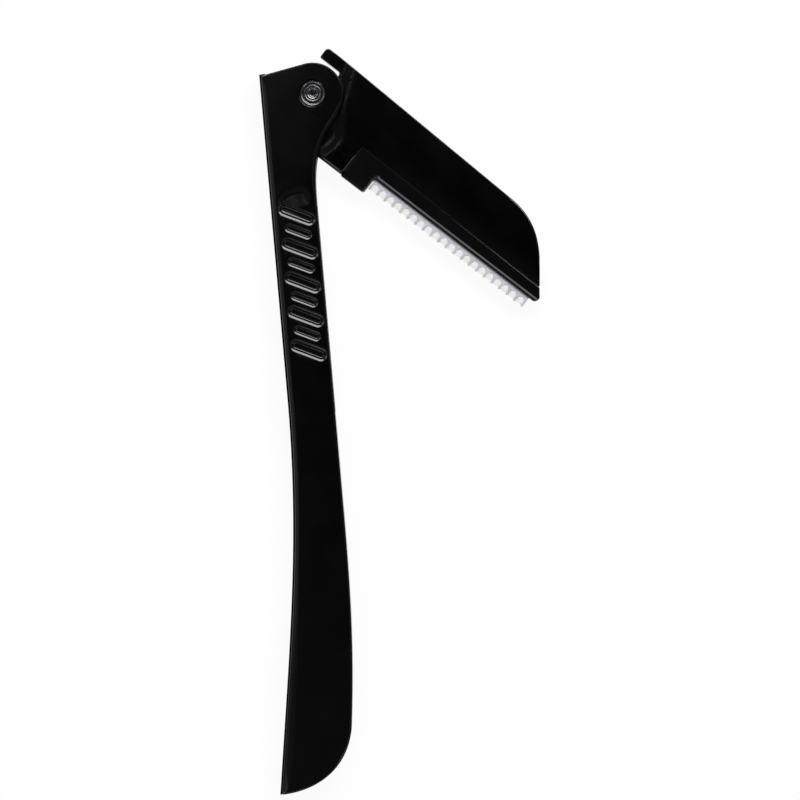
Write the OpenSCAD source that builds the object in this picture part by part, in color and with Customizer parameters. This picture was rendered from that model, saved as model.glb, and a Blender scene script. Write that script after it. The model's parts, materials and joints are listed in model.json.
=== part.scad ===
// Folding eyebrow razor, stored half open and lying on its back cheek.
// X runs to the right, Y up along the handle and Z out of the back cheek towards the front.
// Both outlines are drawn about the pivot. The origin is the middle of the whole part's footprint.

/* [Handle] */
// Distance from the pivot to the outside of the spine wall
back_reach = 7.46; // [7.2:0.01:9]
// Width of the handle along the grip
grip_w = 6.7; // [6:0.05:7.5]
// Length of the handle below the pivot
handle_len = 100.45; // [90:0.05:110]
// Length below the pivot over which the spine wall is straight
straight_len = 44; // [40:0.5:50]
// Distance that the butt's corner lies behind the straight spine wall
butt_set = 6; // [3:0.1:8]
// Height of the spine wall's upper corner above the pivot
corner_rise = 3.4; // [2.5:0.05:4]
// Radius of the round end about the pivot
nose_r = 4.4; // [4.2:0.05:5]
// Length below the pivot over which the neck narrows
neck_len = 15.5; // [14:0.1:18]
// Thickness of each cheek
cheek_t = 1.2; // [1:0.05:1.6]
// Width of the slot that the head folds into
slot_w = 2.8; // [2.6:0.05:3.6]
// Thickness of the spine wall and of the closing walls
wall_t = 0.8; // [0.6:0.05:0.9]
// Width of the spine wall's rim beside the front cheek
rim_w = 0.26; // [0.15:0.01:0.4]
// Height of that rim above the slot
rim_rise = 0.6; // [0.3:0.05:0.9]
// Width of the bevel round both outer faces
bevel_w = 0.45; // [0.2:0.05:0.6]
// Depth of the bevel round both outer faces
bevel_t = 0.3; // [0.15:0.05:0.5]
// Radius of the pegs that hold the front shell
peg_r = 0.6; // [0.4:0.05:0.8]
// Radius of the posts that carry the pegs
post_r = 1.2; // [0.9:0.05:1.5]
// Depth to which a peg enters the front shell
peg_depth = 0.6; // [0.4:0.05:0.8]

/* [Grip] */
// Number of grooves, long and short in turn
groove_count = 9; // [3:2:13]
// Distance between neighbouring grooves along the handle
groove_pitch = 2.458; // [2.2:0.01:2.8]
// Distance of the first groove below the pivot
groove_start = 17.2; // [16.5:0.1:18]
// Slant of the grooves from square to the handle
groove_slant = 25.8; // [0:0.2:30]
// Width of the handle that a long groove takes
long_groove_reach = 4.75; // [4:0.05:5]
// Width of a long groove
long_groove_w = 1.5; // [1:0.05:1.7]
// Width of the handle that a short groove takes
short_groove_reach = 3.5; // [2:0.05:4]
// Width of a short groove
short_groove_w = 1.1; // [0.8:0.05:1.4]
// Depth of the grooves
groove_depth = 0.4; // [0.2:0.05:0.6]

/* [Pivot] */
// Radius of the rivet's shank
rivet_r = 1; // [0.8:0.05:1.1]
// Radius of the rivet's head at the back
rivet_head_r = 1.75; // [1.6:0.05:1.85]
// Thickness of the rivet's head
rivet_head_t = 0.35; // [0.25:0.05:0.4]
// Outer radius of the rivet's rolled end
roll_r = 1.28; // [1.2:0.01:1.5]
// Radius of the roll's own section
roll_section_r = 0.3; // [0.2:0.01:0.35]
// Radius of the hollow in the rolled end
dimple_r = 0.68; // [0.4:0.01:0.7]
// Depth of that hollow
dimple_depth = 1.1; // [0.5:0.1:2]
// Outer radius of the washers under the rivet's ends
washer_r = 1.92; // [1.9:0.01:2.2]
// Thickness of those washers
washer_t = 0.2; // [0.1:0.05:0.3]
// Depth by which the rivet lies below both outer faces
rivet_sink = 0.1; // [0.05:0.01:0.2]
// Outer radius of the friction washers beside the tang
friction_r = 2.6; // [2.2:0.05:3.2]
// Thickness of the friction washers
friction_t = 0.3; // [0.2:0.05:0.4]

/* [Head] */
// Distance from the pivot to the head's tip corner
head_len = 44; // [40:0.1:48]
// Depth of the head's tip corner below the pivot
tip_drop = 3.4; // [3.2:0.05:3.8]
// Height of the head's spine above the pivot at its root
spine_rise = 6.68; // [6.5:0.02:7]
// Angle at which the spine falls towards the tip
spine_fall = 2.08; // [1:0.02:3]
// Length from the pivot to where the spine starts to curve down
spine_len = 32; // [29:0.5:34]
// Thickness of the head at its faces
head_t = 2.5; // [2.4:0.02:2.6]
// Reach of the tail finger behind the pivot
tail_reach = 2.45; // [1.5:0.05:3]
// Height of the tail finger's underside above the pivot
tail_rise = 4.9; // [4.75:0.05:5.2]
// Radius of the tang about the pivot
tang_r = 4.1; // [3.9:0.05:4.2]
// Length from the pivot to the heel's square side
heel_len = 10.35; // [9:0.05:12]
// Depth of the heel below the pivot
heel_drop = 6.72; // [6.5:0.01:6.8]
// Depth of the step between head and carrier below the pivot, at the heel
step_drop = 1.76; // [1.5:0.02:2.2]
// Angle at which that step falls towards the tip
step_fall = 0.75; // [0:0.05:1.5]
// Width of the catch recess in the heel
catch_w = 2.6; // [1:0.1:2.8]
// Height of the catch recess
catch_h = 2; // [1:0.1:2.4]
// Wall between the catch recess and the heel's square side
catch_side = 0.2; // [0.2:0.05:0.5]
// Wall between the catch recess and the heel's lower side
catch_floor = 0.6; // [0.4:0.05:1]
// Depth of the catch recess
catch_depth = 0.15; // [0.05:0.05:0.3]

/* [Blade carrier] */
// Thickness of the carrier beside the blade
carrier_t = 1.9; // [1.6:0.05:2.2]
// Depth of the carrier's lip below the pivot
lip_drop = 4.33; // [4:0.01:4.6]
// Length from the pivot to the tab's outer side
tab_len = 14.5; // [13:0.05:16]
// Depth of the tab below the pivot
tab_drop = 6.9; // [6.75:0.01:6.95]
// Thickness of the tongue that the head traps
tongue_t = 1.1; // [0.8:0.05:1.3]
// Height of the tongue above the step
tongue_rise = 2.3; // [1.5:0.1:2.6]
// Distance from the tongue's end to the head's tip corner
tongue_margin = 4.9; // [4:0.1:6]
// Wall between the tongue and the pegs of the head
head_peg_wall = 1.45; // [1:0.05:2]
// Width of the raised bead along the lip
bead_w = 0.85; // [0.5:0.05:1]
// Width of the groove behind the bead
bead_groove_w = 0.3; // [0.2:0.05:0.5]
// Depth of that groove
bead_groove_depth = 0.12; // [0.05:0.01:0.2]
// Radius of the pegs that hold the blade
blade_peg_r = 0.3; // [0.2:0.05:0.4]

/* [Blade and guard] */
// Thickness of the blade strip
blade_t = 0.25; // [0.15:0.01:0.3]
// Height of the blade strip from its back to its edge
blade_h = 3.4; // [3.2:0.05:3.5]
// Height of the ground bevel at the edge
grind_h = 0.85; // [0.5:0.05:1.2]
// Flat that is left on the cutting edge
edge_t = 0.02; // [0.01:0.01:0.05]
// Distance from the guard's ends to the blade's ends
blade_inset = 0.1; // [0.05:0.01:0.3]
// Distance from the tab to the guard
guard_margin = 0.12; // [0.05:0.01:0.3]
// Distance from the guard's other end to the head's tip corner
guard_tip_margin = 1.22; // [1.1:0.01:3]
// Thickness of the guard's sheet
guard_t = 0.12; // [0.08:0.01:0.14]
// Height of the guard from its root to the fold
guard_h = 2.1; // [1.9:0.05:2.3]
// Depth of the fold below the pivot
guard_drop = 5.97; // [5.8:0.01:6.2]
// Number of windows in the guard
window_count = 20; // [10:1:24]
// Width of a guard tooth between two windows
tooth_w = 0.28; // [0.2:0.01:0.4]
// Height of a window from the fold to its arched top
window_h = 1.24; // [1.1:0.01:1.35]

/* [Stored pose] */
// Lean of the handle from upright
handle_lean = 5; // [0:0.5:15]
// Angle of the blade's line below level
head_drop = 37.5; // [25:0.5:60]

/* [Fits] */
// Clearance round the rivet in the head
running_gap = 0.04; // [0.02:0.01:0.08]
// Clearance between moulded pieces that stay still
seat_gap = 0.02; // [0.01:0.01:0.04]
// Clearance of the tail finger in the spine wall
sweep_gap = 0.08; // [0.04:0.01:0.1]
// Clearance beyond the folded head's tip
tip_gap = 2; // [1:0.1:3]

/* [Hidden] */
$fn = 48;

// Overrun of every cut past the face that it opens
over = 0.5;

// Number of straight pieces in a round stretch and in a curved stretch of an outline
round_steps = 20;
curve_steps = 10;

// Length of a curve's handles as a share of its chord
bend_share = 0.36;

// Angles on the round end where the neck leaves it, and of the neck's steepest stretch
nose_leave = -12;
knee_heading = -130;

// Steepest point of the neck, as shares of the round end's radius and of the neck's length
knee_shares = [0.48, 0.31];

// Start of the belly's curve and of the butt's round, as shares of the handle's length
belly_share = 0.6;
butt_share = 0.915;

// Forward lean of the belly where the butt's round starts, as a share of the butt's set
belly_lean_share = 0.27;

// Headings of the belly, of both ends of the butt's round and of the spine wall at the butt
belly_heading = -97;
butt_round_headings = [-101, -178];
butt_round_share = 0.4;
butt_heading = 81.6;

// Right side of the handle
front_x = grip_w - back_reach;

// Heights of the slot, of the front shell, of the whole handle and of the head's middle plane
slot_z = cheek_t;
front_z = cheek_t + slot_w;
handle_t = front_z + cheek_t;
head_z = slot_z + slot_w / 2;

// Depth of the counterbores and the faces of the washers in them
counterbore_depth = rivet_sink + rivet_head_t + washer_t;
front_seat_z = handle_t - counterbore_depth;
back_seat_z = counterbore_depth;
washer_front_top = front_seat_z + washer_t;
counterbore_r = washer_r + sweep_gap;

// Half thickness of the tang between the friction washers
tang_half = slot_w / 2 - friction_t - running_gap;
face_half = head_t / 2;

// Length of the open channel, and the closing wall below it
channel_len = head_len + tip_gap;

// Pegs of the handle lie on a line down the middle of its lower half. The line's end is given as
// shares of the butt's set and of the handle's length.
peg_shares = [0.16, 0.5, 0.82];
peg_line_shares = [0.5, 0.96];
peg_line_top = [front_x - grip_w / 2, -channel_len];
peg_line_end = [-back_reach - butt_set * peg_line_shares[0], -handle_len * peg_line_shares[1]];

// Reach of the tail finger's corner from the pivot
tail_round = 0.6;
tail_corner = [tail_round - tail_reach, spine_rise - tail_round];
sweep_r = norm(tail_corner) + tail_round + sweep_gap;

// Points of an arc, without its last one
function polar(r, a) = [r * cos(a), r * sin(a)];
function arc(centre, r, from, to, steps) =
    [for (i = [0:steps - 1]) centre + polar(r, from + (to - from) * i / steps)];

// Points of a smooth curve from p at heading a to q at heading b, without its last one
function bend(p, a, q, b, share = bend_share, steps = curve_steps) =
    let (reach = share * norm(q - p), c = p + polar(reach, a), d = q - polar(reach, b))
    [for (i = [0:steps - 1]) let (t = i / steps, s = 1 - t)
        s * s * s * p + 3 * s * s * t * c + 3 * s * t * t * d + t * t * t * q];

// A closed outline drawn in by a depth, corner by corner. The outline runs clockwise.
function unit(v) = v / norm(v);
function inset(points, depth) =
    let (n = len(points))
    [for (i = [0:n - 1])
        let (before = unit(points[i] - points[(i + n - 1) % n]),
             after = unit(points[(i + 1) % n] - points[i]),
             middle = unit(before + after))
        points[i] + [middle.y, -middle.x] * depth / sqrt((1 + before * after) / 2)];

function reversed(points) = [for (i = [len(points) - 1:-1:0]) points[i]];
function turned(p, a) = [p.x * cos(a) - p.y * sin(a), p.x * sin(a) + p.y * cos(a)];

// Angle on a round end where a line from an outside point touches it
function touch_angle(r, p) = atan2(p.y, p.x) - acos(r / norm(p));

// Handle, drawn clockwise from the spine wall's upper corner. A shift moves the spine side in.
function spine_corner(shift) = [shift - back_reach, corner_rise - shift];
function butt_corner(shift) = [shift - back_reach - butt_set, -handle_len];
function spine_side(shift) = concat(
    bend(butt_corner(shift), butt_heading, [shift - back_reach, -straight_len], 90),
    [[shift - back_reach, -straight_len]]);
function handle_outline(shift) =
    let (touch = touch_angle(nose_r, spine_corner(shift)),
         leave = polar(nose_r, nose_leave),
         knee = [nose_r * knee_shares[0], -neck_len * knee_shares[1]],
         belly = [front_x, -handle_len * belly_share],
         round_start = [front_x - butt_set * belly_lean_share, -handle_len * butt_share])
    concat(
        [spine_corner(shift)],
        arc([0, 0], nose_r, touch, nose_leave, round_steps),
        bend(leave, nose_leave - 90, knee, knee_heading),
        bend(knee, knee_heading, [front_x, -neck_len], -90),
        [[front_x, -neck_len]],
        bend(belly, -90, round_start, belly_heading),
        bend(round_start, butt_round_headings[0], butt_corner(shift), butt_round_headings[1],
            butt_round_share),
        spine_side(shift));

// The handle's flat faces are parted from the neck's lower end to the top of the spine's curve. The
// upper part is seen from the spine wall's upper corner and the lower one from the belly.
neck_index = 1 + round_steps + 2 * curve_steps;
function handle_parts() =
    let (last = len(handle_outline(0)) - 1)
    [concat([for (i = [0:neck_index]) i], [last]),
     concat([for (i = [neck_index + 1:last]) i], [neck_index])];

// Head, drawn clockwise from the tail finger's end. Headings are of the slanted tip, of the curve
// that leads into it and of the carrier's corner below it.
tip_heading = -52.4;
tip_curve_heading = -49.4;
tip_curve_share = 0.38;
lip_heading = -72.4;
tip_corner = [head_len, -tip_drop];
function step_y(x) = -step_drop - (x - heel_len) * tan(step_fall);
function spine_y(x) = spine_rise - x * tan(spine_fall);
spine_end = [spine_len, spine_y(spine_len)];

// The slanted tip is a straight line up from the tip corner, and this is where its curve ends
tip_line_len = 5.9;
tip_start = tip_corner - polar(tip_line_len, tip_heading);
function tip_x(y) = tip_corner.x + (y - tip_corner.y) / tan(tip_heading);

// Where the step meets the slanted tip
step_tip_x = tip_x(step_y(tip_x(-step_drop)));
step_tip = [step_tip_x, step_y(step_tip_x)];

// Tang, tail and heel. The tang's round runs between two angles, and its ends have headings of
// their own where the heel's curve comes in and the notch's curve leaves.
tang_start = -115;
tang_end = 70;
tang_heading = 155;
notch_heading = 100;
notch_share = 0.7;
heel_left_share = 0.61;
heel_left = [heel_len * heel_left_share, -heel_drop];
function outer_run() = concat(
    bend(spine_end, -spine_fall, tip_start, tip_curve_heading, tip_curve_share, 2 * curve_steps),
    [tip_start, step_tip, [heel_len, step_y(heel_len)], [heel_len, -heel_drop]]);
function head_outline() =
    let (tang_low = polar(tang_r, tang_start),
         notch_start = polar(tang_r, tang_end),
         notch_top = [0, tail_rise])
    concat(
        arc(tail_corner, tail_round, 180, 90, curve_steps),
        [[0, spine_y(0)]],
        outer_run(),
        bend(heel_left, 180, tang_low, tang_heading),
        arc([0, 0], tang_r, tang_start, tang_end - 360, 2 * round_steps),
        bend(notch_start, notch_heading, notch_top, 180, notch_share),
        [notch_top, [-tail_reach, tail_rise]]);

// The raised face starts at a shoulder outside the cheek's neck. Its corners are shares of the heel's
// length and of the spine's height or the heel's depth.
shoulder_shares = [[0.24, 1], [0.48, 0.09], [0.72, -0.48], [0.63, -1]];
shoulder_headings = [108, 118, 90, 65];
function shoulder_point(i) =
    let (x = heel_len * shoulder_shares[i][0], share = shoulder_shares[i][1])
    [x, share * (share > 0 ? spine_y(x) : heel_drop)];
function shoulder_bend(i) =
    bend(shoulder_point(i + 1), shoulder_headings[i + 1], shoulder_point(i), shoulder_headings[i]);
function face_outline() = concat(
    [shoulder_point(0)],
    outer_run(),
    shoulder_bend(2),
    shoulder_bend(1),
    shoulder_bend(0));

// Blade carrier, drawn clockwise from the step at the heel
tip_round = 0.9;
tab_round = 0.45;
lip_end = [head_len - tip_round, -lip_drop];
tab_left = heel_len + seat_gap;
function carrier_outline() = concat(
    [[tab_left, step_y(tab_left) - seat_gap], [step_tip.x, step_tip.y - seat_gap]],
    bend(tip_corner, lip_heading, lip_end, 180),
    [lip_end, [tab_len + tab_round, -lip_drop]],
    arc([tab_len + tab_round, -lip_drop - tab_round], tab_round, 90, 180, curve_steps),
    arc([tab_len - tab_round, tab_round - tab_drop], tab_round, 0, -90, curve_steps),
    [[tab_len - tab_round, -tab_drop], [tab_left, -tab_drop]]);

// Tongue of the carrier inside the head
tongue_start = heel_len + wall_t;
tongue_end = head_len - tongue_margin;
function tongue_outline(grow) = [
    [tongue_start - grow, step_y(tongue_start) + tongue_rise + grow],
    [tongue_end + grow, step_y(tongue_end) + tongue_rise + grow],
    [tongue_end + grow, step_y(tongue_end) - over],
    [tongue_start - grow, step_y(tongue_start) - over]];

// Blade and guard. The pegs that hold the blade lie midway between its back and the guard's root.
guard_x = tab_len + guard_margin;
guard_len = head_len - guard_tip_margin - guard_x;
guard_fold_r = blade_t / 2 + seat_gap / 2 + guard_t;
guard_top_y = guard_h - guard_drop;
edge_y = guard_t + seat_gap / 2 - guard_drop;
blade_back_y = edge_y + blade_h;
window_pitch = (guard_len - tooth_w) / window_count;
window_r = (window_pitch - tooth_w) / 2;
blade_peg_shares = [0.1, 0.5, 0.9];
blade_peg_y = (blade_back_y + guard_top_y) / 2;

// Pegs between the two halves of the head are as large as the handle's
head_peg_shares = [0.28, 0.53, 0.74];
head_peg_y = step_y(0) + tongue_rise + head_peg_wall + peg_r;

// Place of the pivot, so that the footprint's middle is the origin
all_points = concat(
    [for (p = handle_outline(0)) turned(p, handle_lean)],
    [for (p = concat(head_outline(), carrier_outline())) turned(p, -head_drop)]);
low_x = min([for (p = all_points) p.x]);
high_x = max([for (p = all_points) p.x]);
low_y = min([for (p = all_points) p.y]);
high_y = max([for (p = all_points) p.y]);
pivot = [-(low_x + high_x) / 2, -(low_y + high_y) / 2];

module handle_frame() {
    translate([pivot.x, pivot.y, 0])
        rotate([0, 0, handle_lean])
            children();
}

module head_frame() {
    translate([pivot.x, pivot.y, head_z])
        rotate([0, 0, -head_drop])
            children();
}

// A solid through outlines of equal count, one at each level. Both of its flat ends are made of
// parts, and each part lists its corners from one that sees all the others.
module lofted(outlines, levels, parts) {
    n = len(outlines[0]);
    last = len(levels) - 1;
    polyhedron(
        points = [for (k = [0:last]) for (p = outlines[k]) [p.x, p.y, levels[k]]],
        faces = concat(
            [for (part = parts) [for (i = [0:len(part) - 1]) part[(len(part) - i) % len(part)]]],
            [for (part = parts) [for (i = part) last * n + i]],
            [for (k = [0:last - 1]) for (i = [0:n - 1])
                let (j = (i + 1) % n) [k * n + i, k * n + j, (k + 1) * n + j]],
            [for (k = [0:last - 1]) for (i = [0:n - 1])
                let (j = (i + 1) % n) [k * n + i, (k + 1) * n + j, (k + 1) * n + i]]));
}

module plate(points, from, to) {
    translate([0, 0, from])
        linear_extrude(to - from)
            polygon(points);
}

module round_cut(r, from, to) {
    translate([0, 0, from])
        cylinder(r = r, h = to - from);
}

// Handle, back half
module channel_plan() {
    translate([wall_t - back_reach, -channel_len])
        square(handle_len);
}

module wall_plan() {
    difference() {
        polygon(handle_outline(0));
        polygon(inset(handle_outline(0), wall_t));
        channel_plan();
    }
}

module closing_plan() {
    intersection() {
        polygon(handle_outline(0));
        translate([-back_reach, -channel_len - wall_t])
            square([handle_len, wall_t]);
    }
}

module rim_plan() {
    polygon(concat(
        spine_side(0),
        [spine_corner(0), spine_corner(rim_w - seat_gap)],
        reversed(spine_side(rim_w - seat_gap))));
}

module at_handle_pegs() {
    for (share = peg_shares) {
        spot = peg_line_top + (peg_line_end - peg_line_top) * share;
        translate(spot)
            children();
    }
}

module handle_back_shell() {
    color([0.13, 0.13, 0.15])
        handle_frame()
            difference() {
                union() {
                    lofted([inset(handle_outline(0), bevel_w), handle_outline(0), handle_outline(0)],
                        [0, bevel_t, slot_z], handle_parts());
                    translate([0, 0, slot_z])
                        linear_extrude(slot_w)
                            wall_plan();
                    translate([0, 0, slot_z])
                        linear_extrude(slot_w)
                            closing_plan();
                    translate([0, 0, front_z])
                        linear_extrude(rim_rise)
                            rim_plan();
                    at_handle_pegs() {
                        round_cut(post_r, slot_z, front_z);
                        round_cut(peg_r, front_z, front_z + peg_depth);
                    }
                }
                round_cut(rivet_r, -over, slot_z + over);
                round_cut(counterbore_r, -over, back_seat_z);
                round_cut(sweep_r, slot_z, front_z);
            }
}

// Handle, front half
module groove_plan(reach, width) {
    half = reach / 2 / cos(groove_slant) - width / 2;
    rotate(-groove_slant) {
        square([2 * half, width], center = true);
        for (side = [-1, 1])
            translate([side * half, 0])
                circle(d = width);
    }
}

module grip_grooves() {
    for (i = [0:groove_count - 1])
        translate([front_x - grip_w / 2 + rim_w, -groove_start - i * groove_pitch, handle_t - groove_depth])
            linear_extrude(groove_depth + over)
                if (i % 2 == 0)
                    groove_plan(long_groove_reach, long_groove_w);
                else
                    groove_plan(short_groove_reach, short_groove_w);
}

module handle_front_shell() {
    outline = handle_outline(rim_w);
    color([0.13, 0.13, 0.15])
        handle_frame()
            difference() {
                lofted([outline, outline, inset(outline, bevel_w)],
                    [front_z, handle_t - bevel_t, handle_t], handle_parts());
                round_cut(rivet_r, front_z - over, handle_t + over);
                round_cut(counterbore_r, front_seat_z, handle_t + over);
                grip_grooves();
                at_handle_pegs()
                    round_cut(peg_r + seat_gap, front_z - over, front_z + peg_depth + seat_gap);
            }
}

// Pivot
module pivot_rivet() {
    roll_z = handle_t - rivet_sink - roll_section_r;
    color([0.2, 0.2, 0.23])
        handle_frame()
            difference() {
                union() {
                    round_cut(rivet_head_r, rivet_sink, rivet_sink + rivet_head_t);
                    round_cut(rivet_r, rivet_sink, roll_z);
                    round_cut(roll_r, washer_front_top, roll_z);
                    rotate_extrude()
                        translate([roll_r - roll_section_r, roll_z])
                            difference() {
                                circle(r = roll_section_r);
                                translate([-roll_r, -roll_r])
                                    square([2 * roll_r, roll_r]);
                            }
                }
                round_cut(dimple_r, handle_t - rivet_sink - dimple_depth, handle_t + over);
            }
}

module ring(outer_r, inner_r, from, to) {
    difference() {
        round_cut(outer_r, from, to);
        round_cut(inner_r, from - over, to + over);
    }
}

module rivet_front_washer() {
    color([0.25, 0.25, 0.28])
        handle_frame()
            ring(washer_r, rivet_r, front_seat_z, washer_front_top);
}

module rivet_back_washer() {
    color([0.25, 0.25, 0.28])
        handle_frame()
            ring(washer_r, rivet_r, back_seat_z - washer_t, back_seat_z);
}

module friction_washer_front() {
    color([0.7, 0.7, 0.68])
        handle_frame()
            ring(friction_r, rivet_r, front_z - friction_t, front_z);
}

module friction_washer_back() {
    color([0.7, 0.7, 0.68])
        handle_frame()
            ring(friction_r, rivet_r, slot_z, slot_z + friction_t);
}

// Head. Each half is drawn from the middle plane outwards.
module head_half() {
    difference() {
        union() {
            plate(head_outline(), 0, tang_half);
            plate(face_outline(), 0, face_half);
        }
        round_cut(rivet_r + running_gap, -over, face_half + over);
        plate(tongue_outline(seat_gap), -over, tongue_t / 2 + seat_gap);
        translate([heel_len - catch_side - catch_w, catch_floor - heel_drop, face_half - catch_depth])
            cube([catch_w, catch_h, catch_depth + over]);
    }
}

module at_head_pegs() {
    for (share = head_peg_shares)
        translate([head_len * share, head_peg_y])
            children();
}

module head_front_shell() {
    color([0.1, 0.1, 0.12])
        head_frame()
            difference() {
                head_half();
                at_head_pegs()
                    round_cut(peg_r + seat_gap, -over, peg_depth + seat_gap);
            }
}

module head_back_shell() {
    color([0.1, 0.1, 0.12])
        head_frame() {
            mirror([0, 0, 1])
                head_half();
            at_head_pegs()
                round_cut(peg_r, -seat_gap, peg_depth);
        }
}

// Carrier. Each half is drawn from the middle plane outwards.
module bead_groove() {
    from = carrier_t / 2 - bead_groove_depth;
    side = tab_len - bead_w;
    floor_y = bead_w - tab_drop;
    lip_y = bead_w - lip_drop;
    translate([0, 0, from])
        linear_extrude(bead_groove_depth + over) {
            translate([side - bead_groove_w, lip_y])
                square([head_len - side, bead_groove_w]);
            translate([side - bead_groove_w, floor_y])
                square([bead_groove_w, lip_y - floor_y + bead_groove_w]);
            translate([tab_left, floor_y])
                square([side - tab_left, bead_groove_w]);
        }
}

module blade_pocket() {
    translate([guard_x - seat_gap, -lip_drop - over, -over])
        cube([guard_len + 2 * seat_gap, blade_back_y + lip_drop + over + seat_gap, over + blade_t / 2]);
    translate([guard_x - seat_gap, -lip_drop - over, -over])
        cube([guard_len + 2 * seat_gap, guard_top_y + lip_drop + over + seat_gap, over + guard_fold_r]);
}

module at_blade_pegs() {
    for (share = blade_peg_shares)
        translate([guard_x + guard_len * share, blade_peg_y])
            children();
}

module carrier_half() {
    difference() {
        union() {
            plate(carrier_outline(), 0, carrier_t / 2);
            plate(tongue_outline(0), 0, tongue_t / 2);
        }
        blade_pocket();
        bead_groove();
    }
}

module blade_carrier_front() {
    color([0.1, 0.1, 0.12])
        head_frame()
            difference() {
                carrier_half();
                at_blade_pegs()
                    round_cut(blade_peg_r + seat_gap, -over, blade_t + seat_gap);
            }
}

module blade_carrier_back() {
    color([0.1, 0.1, 0.12])
        head_frame() {
            mirror([0, 0, 1])
                carrier_half();
            at_blade_pegs()
                round_cut(blade_peg_r, -blade_t / 2 - seat_gap, blade_t);
        }
}

module razor_blade() {
    flat_y = edge_y + grind_h;
    color([0.85, 0.86, 0.88])
        head_frame()
            difference() {
                translate([guard_x + blade_inset, 0, 0])
                    rotate([90, 0, 90])
                        linear_extrude(guard_len - 2 * blade_inset)
                            polygon([
                                [blade_back_y, -blade_t / 2],
                                [blade_back_y, blade_t / 2],
                                [flat_y, blade_t / 2],
                                [edge_y, edge_t / 2],
                                [edge_y, -edge_t / 2],
                                [flat_y, -blade_t / 2]]);
                at_blade_pegs()
                    round_cut(blade_peg_r + seat_gap, -blade_t, blade_t);
            }
}

// Guard. The sheet is folded round the edge, so its section is a long U.
module guard_section(r) {
    translate([r - guard_drop, 0])
        circle(r = r);
    translate([r - guard_drop, -r])
        square([guard_h - r, 2 * r]);
}

module guard_comb() {
    inner_r = guard_fold_r - guard_t;
    color([0.62, 0.64, 0.72])
        head_frame()
            difference() {
                translate([guard_x, 0, 0])
                    rotate([90, 0, 90])
                        linear_extrude(guard_len)
                            difference() {
                                guard_section(guard_fold_r);
                                translate([guard_t, 0])
                                    guard_section(inner_r);
                            }
                for (i = [0:window_count - 1])
                    translate([guard_x + tooth_w + window_r + i * window_pitch, -guard_drop, 0]) {
                        translate([0, window_h - window_r, -over])
                            cylinder(r = window_r, h = 2 * over);
                        translate([-window_r, -over, -over])
                            cube([2 * window_r, window_h - window_r + over, 2 * over]);
                    }
            }
}

handle_back_shell();
handle_front_shell();
pivot_rivet();
rivet_front_washer();
rivet_back_washer();
friction_washer_front();
friction_washer_back();
head_front_shell();
head_back_shell();
blade_carrier_front();
blade_carrier_back();
razor_blade();
guard_comb();
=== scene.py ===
"""Dresses the folding eyebrow razor in its photographed pose.

Every piece is drawn in millimetres in the frame of the half that it belongs to, and is laid in the
model's frame in metres as its mesh is made.
"""
import json
import logging
import math
from collections.abc import Callable
from dataclasses import dataclass, field
from enum import Enum
from functools import cached_property

import bmesh
import bpy
from mathutils import Matrix, Vector

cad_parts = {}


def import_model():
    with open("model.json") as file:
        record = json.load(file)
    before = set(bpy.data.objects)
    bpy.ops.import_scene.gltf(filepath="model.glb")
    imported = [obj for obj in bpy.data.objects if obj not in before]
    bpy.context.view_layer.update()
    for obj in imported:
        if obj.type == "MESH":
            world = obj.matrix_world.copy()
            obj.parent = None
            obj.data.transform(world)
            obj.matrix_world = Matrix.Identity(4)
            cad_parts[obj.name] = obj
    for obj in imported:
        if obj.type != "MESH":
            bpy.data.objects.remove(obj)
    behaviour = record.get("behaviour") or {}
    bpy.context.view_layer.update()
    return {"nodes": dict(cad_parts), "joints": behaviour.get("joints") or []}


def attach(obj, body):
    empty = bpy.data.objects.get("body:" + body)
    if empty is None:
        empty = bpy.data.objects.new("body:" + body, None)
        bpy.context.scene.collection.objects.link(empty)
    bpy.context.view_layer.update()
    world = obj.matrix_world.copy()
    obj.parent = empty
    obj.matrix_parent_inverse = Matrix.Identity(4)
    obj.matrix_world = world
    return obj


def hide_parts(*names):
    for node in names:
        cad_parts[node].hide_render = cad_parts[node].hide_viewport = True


logging.basicConfig(level=logging.INFO, format="%(levelname)s %(message)s")
log = logging.getLogger("razor")

MM = 0.001
WELD = 1e-4  # Corners nearer to each other than this, in millimetres, are one
CUT = 1e-5  # A corner nearer to a cutting line than this, in millimetres, lies on it
NEAR = 0.01  # A point nearer to a drawn line than this, in millimetres, lies on it
HANDLE_LEAN = 5  # Turn of the handle about the pivot, in degrees
HEAD_DROP = 37.5  # Turn of the head below the level, in degrees

PIVOT = Vector((0, 0))
RIGHT = Vector((1, 0))
UP = Vector((0, 1))

Height = Callable[[Vector], float]
Profile = tuple[tuple[float, float], ...]
Colour = tuple[float, float, float]
Ring = list[bmesh.types.BMVert]


class Body(Enum):
    """The two halves that the pivot joins."""

    HANDLE = "handle"
    HEAD = "head"


class Finish(Enum):
    """The finishes, each with the record's slot that it stands for."""

    HANDLE = ("handle", "handle_plastic")
    HEAD = ("head", "head_plastic")
    CARRIER = ("carrier", "head_plastic")
    RIVET = ("rivet", "rivet_steel")
    WASHER = ("washer", "washer_plastic")
    BLADE = ("blade", "blade_steel")
    GUARD = ("guard", "guard_steel")


# Outlines

def polar(radius: float, angle: float) -> Vector:
    """Returns the point at a radius and an angle in degrees."""
    turn = math.radians(angle)
    return Vector((radius * math.cos(turn), radius * math.sin(turn)))


def arc(centre: Vector, radius: float, start: float, end: float, steps: int) -> list[Vector]:
    """Draws an arc, without its last point.

    Args:
        centre: Middle of the arc.
        radius: Its radius.
        start: Angle of the first point in degrees.
        end: Angle at which the arc ends in degrees.
        steps: Number of points.

    Returns:
        The points in order.
    """
    return [centre + polar(radius, start + (end - start) * i / steps) for i in range(steps)]


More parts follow.
